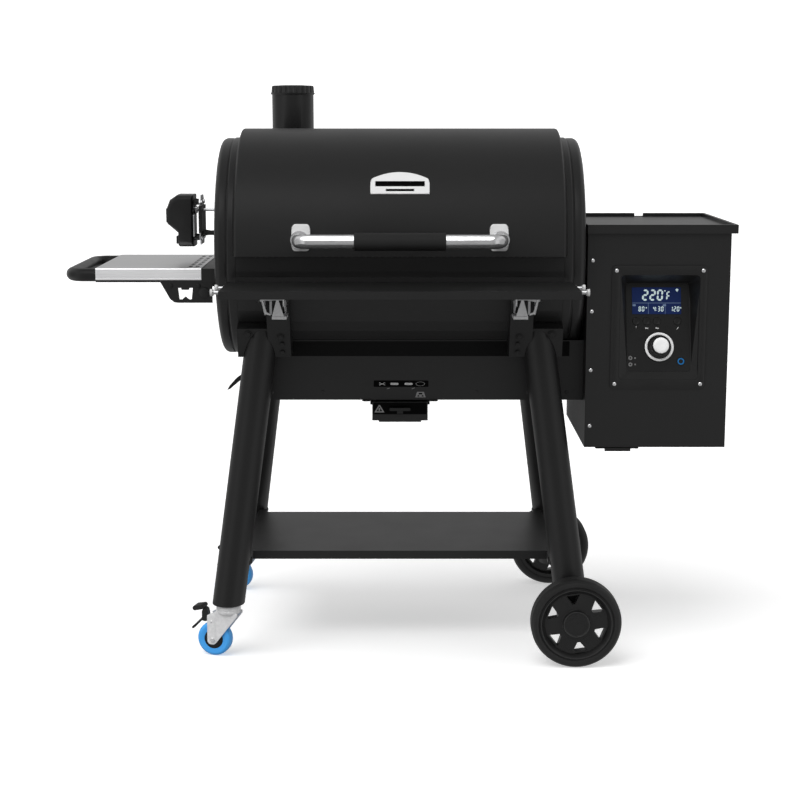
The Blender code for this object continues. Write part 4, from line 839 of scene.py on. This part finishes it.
def make_drawer():
    wide, tall, rail = (-0.06, 0.06), (0.54, 0.58), (0.5792, 0.5808)
    shell = [slab(wide, (-0.1655, -0.164), tall), slab(wide, (0.048, 0.05), tall),
             slab((-0.06, -0.0585), (-0.165, 0.049), tall), slab((0.0585, 0.06), (-0.165, 0.049), tall),
             slab(wide, (-0.165, 0.049), (0.539, 0.5405)),
             slab((-0.067, -0.0585), (-0.155, 0.05), rail), slab((0.0585, 0.067), (-0.155, 0.05), rail)]
    front = [(-0.065, 0.5395), (-0.05, 0.5395), (-0.049, 0.536), (0.049, 0.536), (0.05, 0.5395),
             (0.065, 0.5395), (0.065, 0.584), (-0.065, 0.584)]
    build("drawer_shell", shell, PAINT, "grease_drawer", "grease_drawer", bevel=0.0004)
    build("drawer_front", [plate(front, "Y", -0.168, -0.1655)], PAINT, "grease_drawer", bevel=0.0007)
    sign = [(-0.06, 0.559), (-0.0365, 0.559), (-0.047, 0.5765), (-0.0495, 0.5765)]
    hollow = [(-0.0552, 0.5617), (-0.0413, 0.5617), (-0.0482, 0.5733)]
    tick = [(-0.0498, 0.563), (-0.0466, 0.563), (-0.0462, 0.5685), (-0.0482, 0.5705), (-0.0502, 0.5685)]
    for name, outline, y, material in (("label", rounded((-0.0625, 0.0625), (0.5545, 0.5825), 0.001, 2),
                                        -0.168, LABEL),
                                       ("sign", sign, -0.1684, MARK_DIM),
                                       ("sign_fill", hollow, -0.1688, LABEL),
                                       ("sign_tick", tick, -0.1692, MARK_DIM)):
        build(f"drawer_{name}", films([outline], y), material, "grease_drawer")
    handle = [plate(rounded((-0.0245, 0.0245), (0.5648, 0.5722), 0.0025, 4), "Y", -0.1838, -0.1802),
              slab((-0.007, 0.007), (-0.1815, -0.1685), (0.558, 0.566))]
    build("drawer_handle", handle, PAINT_DARK, "grease_drawer", bevel=0.0006)


def make_auger_and_fan():
    steps, per_turn = 432, 48
    section = [(0.0252, 0.0012), (0.008, 0.0016), (0.008, -0.0016), (0.0252, -0.0012)]
    rings = []
    for k in range(steps + 1):
        angle, along = 2 * pi * k / per_turn, 0.0705 + 0.505 * k / steps
        rings.append([(along + a, r * cos(angle), AUGER_Z + r * sin(angle)) for r, a in section])
    shaft = tube([(0.07, 0.0, AUGER_Z), (0.5995, 0.0, AUGER_Z)], 0.006, 24)
    build("auger_flight", [loft(rings), shaft], MILL, "auger_screw", "auger_screw")
    ring = [(0.03 + 0.0115 * j / 4, 0.0035 * sin(pi * j / 4)) for j in range(5)]
    blade = plate(ring + [(x, z - 0.0008) for x, z in ring[::-1]], "Y", -0.0495, -0.0318)
    wheel = [placed(blade, Matrix.Translation((FAN_X, 0.0, FAN_Z)) @ Matrix.Rotation(a, 4, "Y"))
             for a in turns(24)]
    wheel.append(lathe([(0.0045, -0.049), (0.0115, -0.049), (0.012, -0.032), (0.0425, -0.0318),
                        (0.0425, -0.0303), (0.0045, -0.0303)], "Y", (FAN_X, FAN_Z)))
    build("fan_wheel", wheel, MILL, "fan_impeller", "fan_impeller")
    paint(PLASTIC, "fan_housing")


# Hopper and controller


def make_hopper():
    head = dome(0.0046, 0.0024, 24)
    screws = [stood(head, (0, -1, 0), (0.4395, -HOPPER_Y, z)) for z in (0.918, 0.801, 0.665, 0.534)]
    screws += [stood(head, (0, 1, 0), (x, HOPPER_Y, z)) for z in (0.918, 0.77, 0.62, 0.52)
               for x in (0.4395, 0.743)]
    build("hopper_screws", screws, POLISHED, angle=60.0)
    vents = [plate(rounded((x, x + 0.055), (0.54 + 0.014 * k, 0.5455 + 0.014 * k), 0.0025, 3), "Y",
                   HOPPER_Y - 0.0001, HOPPER_Y + 0.0003) for k in range(7) for x in (0.54, 0.61)]
    build("hopper_vents", vents, LABEL)
    build("hopper_seam", [slab((0.43, 0.753), (0.2066, 0.2082), (0.6995, 0.7005))], PAINT)
    hem = [slab((0.43, 0.754), span, (0.4842, 0.487)) for span in ((-0.2076, -0.206), (0.206, 0.2076))]
    build("hopper_hem", hem, PAINT, bevel=0.0005)
    paint(PAINT, "hopper_body", bevel=0.0009)
    paint(PAINT_DARK, "clean_out_gate", bevel=0.0006)


def make_hopper_lid():
    starts = [start + 0.0005 + 0.0134 * k for start in (0.47, 0.69) for k in range(3)]
    knuckles = [collar(0.003, 0.0047, a, a + 0.0122, "X", (0.2165, 0.974)) for a in starts]
    build("hopper_lid_knuckles", knuckles, PAINT, "hopper_lid", bevel=0.0004)
    paint(PAINT_TOP, "hopper_lid", bevel=0.0016)


def on_panel(shape, x=0.0, up=0.0):
    """A shape stood on the sloping panel: its X runs right, its Y up the slope and its Z out."""
    spot = (x, PANEL_Y + up * sin(PANEL_TILT), PANEL_Z + up * cos(PANEL_TILT))
    return placed(shape, Matrix.Translation(spot) @ Matrix.Rotation(pi / 2 - PANEL_TILT, 4, "X"))


def turned(profile, place, sides):
    """A lathed piece standing on the panel at (x, up)."""
    return on_panel(lathe(profile, sides=sides), *place)


def prints(outlines, out, thickness=0.0003):
    """Thin prints of (x, up) outlines on the panel."""
    return [on_panel(plate(outline, "Z", out, out + thickness)) for outline in outlines]


SEGMENTS = {"0": "abcdef", "1": "bc", "2": "abged", "3": "abgcd", "4": "fgbc", "8": "abcdefg", "F": "aefg"}
LEAN = 0.07


def digit(sign, x, up, width, height, stroke):
    """One seven-segment sign, from its lower left corner, as (x, up) outlines."""
    half, gap = stroke / 2, stroke * 0.12
    rows = {"a": height - half, "g": height / 2, "d": half}
    outlines = []
    for segment in SEGMENTS[sign]:
        if segment in rows:
            z = rows[segment]
            outline = [(half + gap, z), (stroke + gap, z + half), (width - stroke - gap, z + half),
                       (width - half - gap, z), (width - stroke - gap, z - half), (stroke + gap, z - half)]
        else:
            middle = width - half if segment in "bc" else half
            low, high = (height / 2, height - half) if segment in "bf" else (half, height / 2)
            outline = [(middle, low + gap), (middle + half, low + half + gap),
                       (middle + half, high - half - gap), (middle, high - gap),
                       (middle - half, high - half - gap), (middle - half, low + half + gap)]
        outlines.append([(x + a + LEAN * b, up + b) for a, b in outline])
    return outlines


def word(signs, x, up, width, height, stroke, pitch):
    return [outline for k, sign in enumerate(signs)
            for outline in digit(sign, x + k * pitch, up, width, height, stroke)]


def make_screen():
    left, bottom, wide, tall = 0.537, 0.133, 0.115, 0.064
    out = 0.0019

    def u(share):
        return left + wide * share

    def v(share):
        return bottom + tall * share

    rim = 0.0008
    glass = rounded((left + rim, left + wide - rim), (bottom + rim, bottom + tall - rim), 0.001, 3)
    build("screen_glass", prints([glass], 0.0004, 0.0013), SCREEN, replaces="lcd_screen", bevel=0.0002)
    large = word("220", u(0.205), v(0.5), 0.0142, 0.0264, 0.0042, 0.017)
    large += digit("F", u(0.69), v(0.51), 0.01, 0.0215, 0.0034)
    large.append(dot(u(0.672), v(0.86), 0.0017, 11))
    large.append(arc((u(0.915), v(0.88)), 0.0038, 20, 160, 8) + [(u(0.915), v(0.82))])
    build("screen_digits", prints(large, out), DIGIT)
    small = []
    for signs, share, pitch in (("80", 0.13, 0.0078), ("4", 0.425, 0.0078), ("30", 0.515, 0.0078),
                                ("120", 0.77, 0.0076)):
        small += word(signs, u(share), v(0.1), 0.006, 0.0127, 0.0021, pitch)
    small += [rounded((u(0.49), u(0.49) + 0.0013), (v(k), v(k) + 0.0013), 0.0004, 2) for k in (0.14, 0.22)]
    small += [dot(u(share), v(0.24), 0.0015) for share in (0.292, 0.985)]
    build("screen_small_digits", prints(small, out), DIGIT)
    rules = [box((u(0.01), u(0.99)), (v(0.408), v(0.424)))]
    rules += [box((u(a), u(a) + 0.0008), (v(0.02), v(0.41))) for a in (0.33, 0.668)]
    rules += [rounded((u(a), u(a) + 0.0075), (v(0.3), v(0.37)), 0.0012, 3) for a in (0.015, 0.625)]
    build("screen_rules", prints(rules, out), DIM)


def make_panel():
    """The bezel's screws and the panel's ring, buttons, marks and probe sockets."""
    dish = [(0.0, -0.0038), (0.0088, -0.0038), (0.0088, 0.0014), (0.008, 0.0021), (0.0072, 0.0022),
            (0.006, 0.0017), (0.0, 0.0014)]
    for k, x in enumerate(MENU_XS, 1):
        build(f"menu_cap_{k}", [turned(dish, (x, MENU_UP), 48)], GLOSS, f"menu_button_{k}",
              f"menu_button_{k}", angle=40.0)
    cap = [(0.0, -0.0038), (0.0088, -0.0038), (0.0088, 0.0012), (0.0082, 0.0018), (0.0, 0.0018)]
    build("power_cap", [turned(cap, POWER, 48)], GLOSS, "power_button", "power_button", angle=40.0)
    glow = [(0.005, 0.0017), (0.0078, 0.0017), (0.0076, 0.0024), (0.0052, 0.0024)]
    build("power_glow", [turned(glow, POWER, 48)], RING, "power_button")
    ring = [(0.0276, 0.0), (0.0334, 0.0), (0.0334, 0.0042), (0.0328, 0.0048), (0.0282, 0.0048),
            (0.0276, 0.0042)]
    build("dial_ring", [turned(ring, DIAL, 96)], WHITE, angle=50.0)
    body = [(0.0, 0.0008), (0.0262, 0.0008), (0.0264, 0.0036), (0.0255, 0.005), (0.0222, 0.0068),
            (0.0216, 0.009), (0.0208, 0.0295), (0.02, 0.0306), (0.0195, 0.0306), (0.0, 0.0306)]
    build("dial_body", [turned(body, DIAL, 90)], PLASTIC, "control_knob", "control_knob", angle=35.0)
    face = [(0.0, 0.0303), (0.018, 0.0303), (0.0182, 0.0309), (0.0174, 0.0318), (0.011, 0.0319), (0.0, 0.032)]
    build("dial_face", [turned(face, DIAL, 90)], WHITE, "control_knob", angle=50.0)
    base = MENU_UP - 0.016
    first, last = MENU_XS[0], MENU_XS[-1]
    marks = [arc((first, base), 0.0022, 200, -20, 8) + [(first, base + 0.0052)]]
    for x in MENU_XS[1:-1]:
        marks.append(dot(x - 0.0018, base + 0.0004, 0.0019))
        marks.append(rounded((x, x + 0.004), (base - 0.0016, base + 0.001), 0.0008, 3))
    marks.append([(last + x, base + z) for x, z in ((-0.0028, -0.0024), (-0.0014, -0.0024), (0.003, 0.0026),
                                                    (0.0014, 0.0026))])
    build("panel_marks", prints(marks, 0.0001), MARK)
    jack = [(0.0018, 0.0), (0.0048, 0.0), (0.0048, 0.001), (0.0042, 0.0016), (0.0022, 0.0016),
            (0.0018, 0.0004)]
    rows = (0.0165, 0.0315)
    build("probe_sockets", [turned(jack, (0.5322, up), 32) for up in rows], MARK_DIM, angle=40.0)
    build("probe_marks", prints([dot(0.5432, up, 0.0019, 11) for up in rows], 0.0001), MARK_DIM)
    screws = [stood(dome(0.0047, 0.0026, 28), (0, -1, 0), (x, -0.2093, z)) for x in (0.4945, 0.6925)
              for z in (0.895, 0.633)]
    build("bezel_screws", screws, POLISHED, angle=60.0)
    rings = []
    for xs, zs, radius, y in (((0.503, 0.688), (0.642, 0.887), 0.0085, -0.2092),
                              ((0.502, 0.689), (0.641, 0.888), 0.009, -0.2101),
                              ((0.487, 0.7), (0.624, 0.904), 0.0085, -0.2101),
                              ((0.4855, 0.7015), (0.6225, 0.9055), 0.0095, -0.2092)):
        rings.append([(x, y, z) for x, z in rounded(xs, zs, radius)])
    build("bezel_face", [loft(rings, caps=False)], PLASTIC, angle=50.0)
    paint(PLASTIC, "controller_bezel", sharp=5.0)
    paint(GLOSS, "control_panel")


# Front shelf and its hinge brackets


def make_front_shelf():
    stems, heads = [], []
    for side, _ in SIDES:
        for y in (-0.418, -0.328):
            stems.append(rod(0.0042, side * 0.387, side * 0.4035, "X", (y, PEG_Z)))
            stems.append(collar(0.0042, 0.0065, side * 0.3885, side * 0.39, "X", (y, PEG_Z)))
            head = [(0.0, 0.4026), (0.0072, 0.4026)]
            head += arc((0.006, 0.4083), 0.002, 20, 90, 4) + [(0.0, 0.4103)]
            heads.append(lathe([(r, side * x) for r, x in head], "X", (y, PEG_Z), 32))
    build("shelf_peg_stems", stems, ZINC, "front_shelf", angle=40.0)
    build("shelf_peg_heads", heads, MARK, "front_shelf", angle=50.0)
    paint(PAINT, "front_shelf", bevel=0.0016)


def make_shelf_hinges():
    """Zinc brackets: two cheeks, a window with a lever behind it, and a foot bolted to the black bracket."""
    near, far, back, front = 0.256, 0.306, -0.2632, -0.334
    cheek = [(back, 0.8), (back, 0.846), (-0.33, 0.853), (-0.3395, 0.852), (-0.3425, 0.845),
             (-0.3395, 0.8385)]
    fronts = [[(far, 0.845), (near + 0.026, 0.845), (near + 0.026, 0.8405), (far - 0.003, 0.8405)],
              [(far, 0.844), (far - 0.003, 0.8405), (far - 0.0105, 0.815), (far - 0.019, 0.811),
               (far - 0.019, 0.8075), (far - 0.0085, 0.8105), (far - 0.006, 0.813)],
              [(near + 0.0175, 0.8425), (near + 0.013, 0.8425), (near + 0.0012, 0.806),
               (near + 0.0275, 0.806)],
              [(near, 0.845), (near + 0.0035, 0.845), (near + 0.0035, 0.827), (near, 0.83)]]
    foot = box((near - 0.0035, near + 0.029), (0.797, 0.804))
    for side, label in SIDES:
        def across(x_near, x_far):
            return tuple(sorted((side * x_near, side * x_far)))

        def mirrored(outline):
            return [(side * x, z) for x, z in outline]

        shapes = [plate(cheek, "X", *across(near, near + 0.0028)),
                  plate(cheek, "X", *across(far - 0.0028, far)),
                  slab(across(near, far), (front, back), (0.843, 0.8458))]
        shapes += [plate(mirrored(outline), "Y", front + 0.0001 * k, -0.3316)
                   for k, outline in enumerate(fronts)]
        shapes.append(plate(mirrored(foot), "Y", -0.32, -0.264))
        build(f"shelf_hinge_{label}_bracket", shapes, FORK, replaces=f"shelf_hinge_{label}", bevel=0.0005)
        lever = [slab(across(near + 0.0278, near + 0.033), (-0.331, -0.325), (0.809, 0.839)),
                 rod(0.0038, side * (near - 0.002), side * (far + 0.004), "X", (PIN_Y, PIN_Z)),
                 stood(hexagon(0.007, 0.0035), (side, 0, 0), (side * (far + 0.0005), PIN_Y, PIN_Z))]
        build(f"shelf_hinge_{label}_pin", lever, ZINC, bevel=0.0004)


# Side shelf


def perforated(xs, ys, is_hole, low, high):
    """A flat sheet of the cells between xs and ys, less those where is_hole(x, y) is true at the middle."""
    count = len(ys)
    points = [(x, y, z) for z in (low, high) for x in xs for y in ys]
    offset = len(xs) * count
    cells = [(i, j) for i in range(len(xs) - 1) for j in range(count - 1)
             if not is_hole((xs[i] + xs[i + 1]) / 2, (ys[j] + ys[j + 1]) / 2)]
    solid = set(cells)
    faces = []
    for i, j in cells:
        a, b, c, d = i * count + j, (i + 1) * count + j, (i + 1) * count + j + 1, i * count + j + 1
        faces += [(a, d, c, b), (a + offset, b + offset, c + offset, d + offset)]
        for other, first, last in (((i, j - 1), a, b), ((i + 1, j), b, c), ((i, j + 1), c, d),
                                   ((i - 1, j), d, a)):
            if other not in solid:
                faces.append((first, last, last + offset, first + offset))
    return points, faces


def make_side_shelf():
    left, right, half, depth, top, fold = -0.7, -0.457, 0.1785, 0.182, 0.898, 0.871
    rows, slots = (-0.486, -0.47), [(-0.148 + 0.052 * k, -0.116 + 0.052 * k) for k in range(6)]
    xs = [left] + [row + e for row in rows for e in (-0.0045, 0.0045)] + [right]
    ys = [-half] + [edge for slot in slots for edge in slot] + [half]

    def in_slot(x, y):
        return any(abs(x - row) < 0.0045 for row in rows) and any(low < y < high for low, high in slots)

    sheet = perforated(xs, ys, in_slot, top - 0.0015, top)
    build("side_shelf_sheet", [sheet], STAINLESS, replaces="side_shelf_top", angle=40.0)
    corner, groove = (half, top - 0.0035), depth - 0.0006
    outline = arc(corner, 0.0035, 90, 0, 8)
    outline += [(depth, fold + 0.0062), (groove, fold + 0.0056), (groove, fold + 0.0046),
                (depth, fold + 0.004), (depth, fold), (0.1805, fold)]
    outline += arc(corner, 0.002, 0, 90, 8)
    folds = [plate([(side * y, z) for y, z in outline], "X", left, right) for side in (-1, 1)]
    build("side_shelf_folds", folds, STAINLESS_FACE, angle=30.0)
    path = [(-0.7003, 0.1665, BAR_Z)] + [(x, y, BAR_Z) for x, y in arc((-0.726, 0.1325), 0.034, 90, 180, 12)]
    path += [(x, -y, z) for x, y, z in path[::-1]]
    build("side_shelf_bar", [tube(path, 0.0153, 44)], PLASTIC_SOFT, replaces="side_shelf_handle", angle=60.0)
    boss = [(0.0, -0.185), (0.0095, -0.185), (0.0118, -0.1838), (0.0121, -0.1815), (0.0121, -0.18),
            (0.0, -0.18)]
    build("side_shelf_boss", [lathe(boss, "Y", (-0.4515, 0.842), 40)], PAINT, angle=40.0)
    bolts = [stood(shape, (0, side, 0), (x, side * 0.1806, 0.8575))
             for side, shape in ((-1, dome(0.0055, 0.003)), (1, hexagon(0.006, 0.0045)))
             for x in (-0.528, -0.464)]
    build("side_shelf_bolts", bolts, PAINT_DARK, angle=40.0)
    paint(PAINT, "side_shelf_frame", bevel=0.0009)


# Rotisserie


def make_rotisserie():
    outline = [(-0.553, 0.99), (-0.553, 1.028), (-0.546, 1.046), (-0.528, 1.058), (-0.49, 1.058),
               (-0.49, 0.935), (-0.524, 0.935), (-0.527, 0.938), (-0.527, 0.968)]
    mid_x, mid_z = -0.517, 0.999
    swell = [(-0.045, 0.76), (-0.0444, 0.84), (-0.0425, 0.91), (-0.039, 0.96), (-0.033, 0.99), (-0.025, 1.0)]
    swell += [(-y, share) for y, share in swell[::-1]]
    rings = [[(mid_x + (x - mid_x) * share, y, mid_z + (z - mid_z) * share) for x, z in outline] for y,
             share in swell]
    build("rotisserie_case", [loft(rings)], PLASTIC_SOFT, replaces="rotisserie_motor", bevel=0.002,
          angle=34.0)
    axis = (0.0, SPIT_Z)
    ring = [(0.0, -0.4925), (0.0085, -0.4925), (0.011, -0.4892), (0.0125, -0.489), (0.0125, -0.493),
            (0.0, -0.493)]
    trim = [lathe(ring, "X", axis, 36), slab((-0.5325, -0.526), (-0.03, 0.03), (0.942, 0.96)),
            slab((-0.4775, -0.4692), (-0.041, 0.041), (0.968, 1.032)),
            slab((-0.5545, -0.5515), (-0.038, 0.038), (0.993, 1.026))]
    build("rotisserie_trim", trim, PLASTIC, bevel=0.0003)
    build("rotisserie_stripe", [slab((-0.49, -0.4868), (-0.044, -0.033), (0.96, 1.011))], ZINC, bevel=0.0005)
    build("spit_socket_shaft", [rod(0.0034, -0.4995, -0.4247, "X", axis, 28)], ZINC, "spit_socket",
          angle=40.0)
    build("rotisserie_switch", [slab((-0.535, -0.531), (-0.012, 0.012), (0.946, 0.956))], GLOSS, bevel=0.0008)
    sleeve = [(0.0, -0.5148), (0.0079, -0.5148), (0.0079, -0.4842), (0.0072, -0.4836), (0.0042, -0.4836),
              (0.0042, -0.5), (0.0, -0.5)]
    build("spit_socket_sleeve", [lathe(sleeve, "X", axis, 40)], ZINC, "spit_socket", "spit_socket",
          angle=40.0)
    corners = [(y, z) for z in (0.956, 1.04) for y in (-0.026, 0.026)]
    spacers = [rod(0.006, -0.4898, -0.4762, "X", corner, 28) for corner in corners]
    cone = [(0.0, -0.473), (0.0066, -0.473), (0.0066, -0.469), (0.0042, -0.456), (0.0042, -0.4248),
            (0.0, -0.4248)]
    spacers += [lathe(cone, "X", (y, 0.966), 28) for y in (-0.02, 0.02)]
    build("rotisserie_spacers", spacers, PLASTIC, angle=40.0)
    build("rotisserie_nuts", [stood(hexagon(0.0052, 0.0034), (1, 0, 0), (-0.473, *corner))
                              for corner in corners], ZINC)
    paint(ZINC, "rotisserie_bracket", bevel=0.0006)


# Stage, light and camera


def make_backdrop(name, corners, look):
    """A flat sheet that only the camera sees."""
    mesh = bpy.data.meshes.new(name)
    mesh.from_pydata(corners, [], [(0, 1, 2, 3)])
    mesh.materials.append(look.material)
    sheet = bpy.data.objects.new(name, mesh)
    bpy.context.scene.collection.objects.link(sheet)
    sheet.visible_diffuse = sheet.visible_glossy = sheet.visible_shadow = False


def make_stage():
    size = FLOOR_SIZE
    white = Look("floor_white")
    white.finish(white.blend(white.noise(1.5), grey(0.88), grey(0.9)), 0.9, Specular_IOR_Level=0.0,
                 Emission_Color=grey(1.0), Emission_Strength=FLOOR_GLOW)
    make_backdrop("floor", [(-size, -size, 0), (size, -size, 0), (size, size, 0), (-size, size, 0)], white)
    glow = Look("wall_white")
    glow.fill(glow.shader, {"Emission_Color": glow.mix(glow.noise(0.2), grey(1.0), grey(0.98)),
                            "Emission_Strength": WALL_GLOW})
    make_backdrop("wall", [(x, size - 1, z) for x, z in box((-size, size), (-5, 30))], glow)


def make_world():
    """A white studio: bright overhead and behind the grill, dimmer in front and dark below."""
    world = bpy.data.worlds.new("studio")
    bpy.context.scene.world = world
    world.use_nodes = True
    tree = world.node_tree
    direction = tree.nodes.new("ShaderNodeTexCoord").outputs["Generated"]
    parts = tree.nodes.new("ShaderNodeSeparateXYZ")
    tree.links.new(direction, parts.inputs[0])
    x, y, z = parts.outputs

    def ramp(value, start, end, low, high):
        node = tree.nodes.new("ShaderNodeMapRange")
        node.interpolation_type = "SMOOTHSTEP"
        tree.links.new(value, node.inputs["Value"])
        for name, number in (("From Min", start), ("From Max", end), ("To Min", low), ("To Max", high)):
            node.inputs[name].default_value = number
        return node.outputs[0]

    def join(first, second, operation="ADD"):
        node = tree.nodes.new("ShaderNodeMath")
        node.operation = operation
        tree.links.new(first, node.inputs[0])
        tree.links.new(second, node.inputs[1])
        return node.outputs[0]

    front = join(ramp(z, 0.02, 0.75, FRONT_LIGHT, TOP_LIGHT), ramp(z, -0.8, 0.02, LOW_LIGHT, FRONT_LIGHT),
                 "MAXIMUM")
    behind = join(ramp(y, 0.2, 0.8, 0.0, BACK_LIGHT), ramp(z, 0.0, 0.04, 0.0, 1.0), "MULTIPLY")
    across = join(x, x, "MULTIPLY")
    sides = join(ramp(across, 0.12, 0.42, 0.0, SIDE_LIGHT), ramp(across, 0.6, 0.85, 1.0, 0.35), "MULTIPLY")
    towards_box = tree.nodes.new("ShaderNodeVectorMath")
    towards_box.operation = "DOT_PRODUCT"
    tree.links.new(direction, towards_box.inputs[0])
    towards_box.inputs[1].default_value = Vector(BOX_DIRECTION).normalized()
    front = join(front, ramp(towards_box.outputs["Value"], 0.955, 0.99, 0.0, BOX_LIGHT))
    light = join(join(join(front, ramp(across, 0.02, 0.3, 1.0, 0.7), "MULTIPLY"), sides), behind)
    background = tree.nodes["Background"]
    background.inputs["Color"].default_value = (1.0, 1.0, 1.0, 1.0)
    tree.links.new(light, background.inputs["Strength"])


def sun(name, strength, towards, width, pieces):
    """A soft sun that lights only the named pieces."""
    data = bpy.data.lights.new(name, "SUN")
    data.energy = strength
    data.angle = radians(width)
    lamp = bpy.data.objects.new(name, data)
    lamp.rotation_euler = Vector(towards).to_track_quat("-Z", "Y").to_euler()
    bpy.context.scene.collection.objects.link(lamp)
    lit_pieces = bpy.data.collections.new(f"{name}_pieces")
    for piece in pieces:
        lit_pieces.objects.link(piece)
    lamp.light_linking.receiver_collection = lit_pieces
    return lamp


def make_lights():
    towards, width = (0.25, 0.55, -1.0), 70.0
    shown = [obj for obj in bpy.context.scene.objects if obj.type == "MESH" and obj.name != "floor"]
    metals = [obj for obj in shown if obj.data.materials and obj.data.materials[0] in METALS]
    sun("floor_sun", 1.6, (0.34, 0.36, -1.0), 44.0, [bpy.data.objects["floor"]])
    sun("metal_key", 2.3, towards, width, metals)
    paint_key = sun("paint_key", 0.4, towards, width, [obj for obj in shown if obj not in metals])
    paint_key.visible_glossy = False


def make_camera():
    data = bpy.data.cameras.new("camera")
    data.lens = CAMERA_LENS
    data.sensor_width = 36.0
    camera = bpy.data.objects.new("camera", data)
    camera.location = Vector(CAMERA_PLACE) + SHIFT
    camera.rotation_euler = (radians(CAMERA_PITCH), 0.0, 0.0)
    bpy.context.scene.collection.objects.link(camera)
    bpy.context.scene.camera = camera


for make in (make_caps, make_lid, make_badge, make_handle, make_barrel_inside, make_chimney, make_legs,
             make_bracket_bolts, make_wheels, make_casters, make_housing, make_drawer, make_auger_and_fan,
             make_hopper,
             make_hopper_lid, make_screen, make_panel, make_front_shelf, make_shelf_hinges, make_side_shelf,
             make_rotisserie, make_stage, make_world, make_lights, make_camera):
    make()
bpy.context.scene.view_settings.view_transform = "Standard"
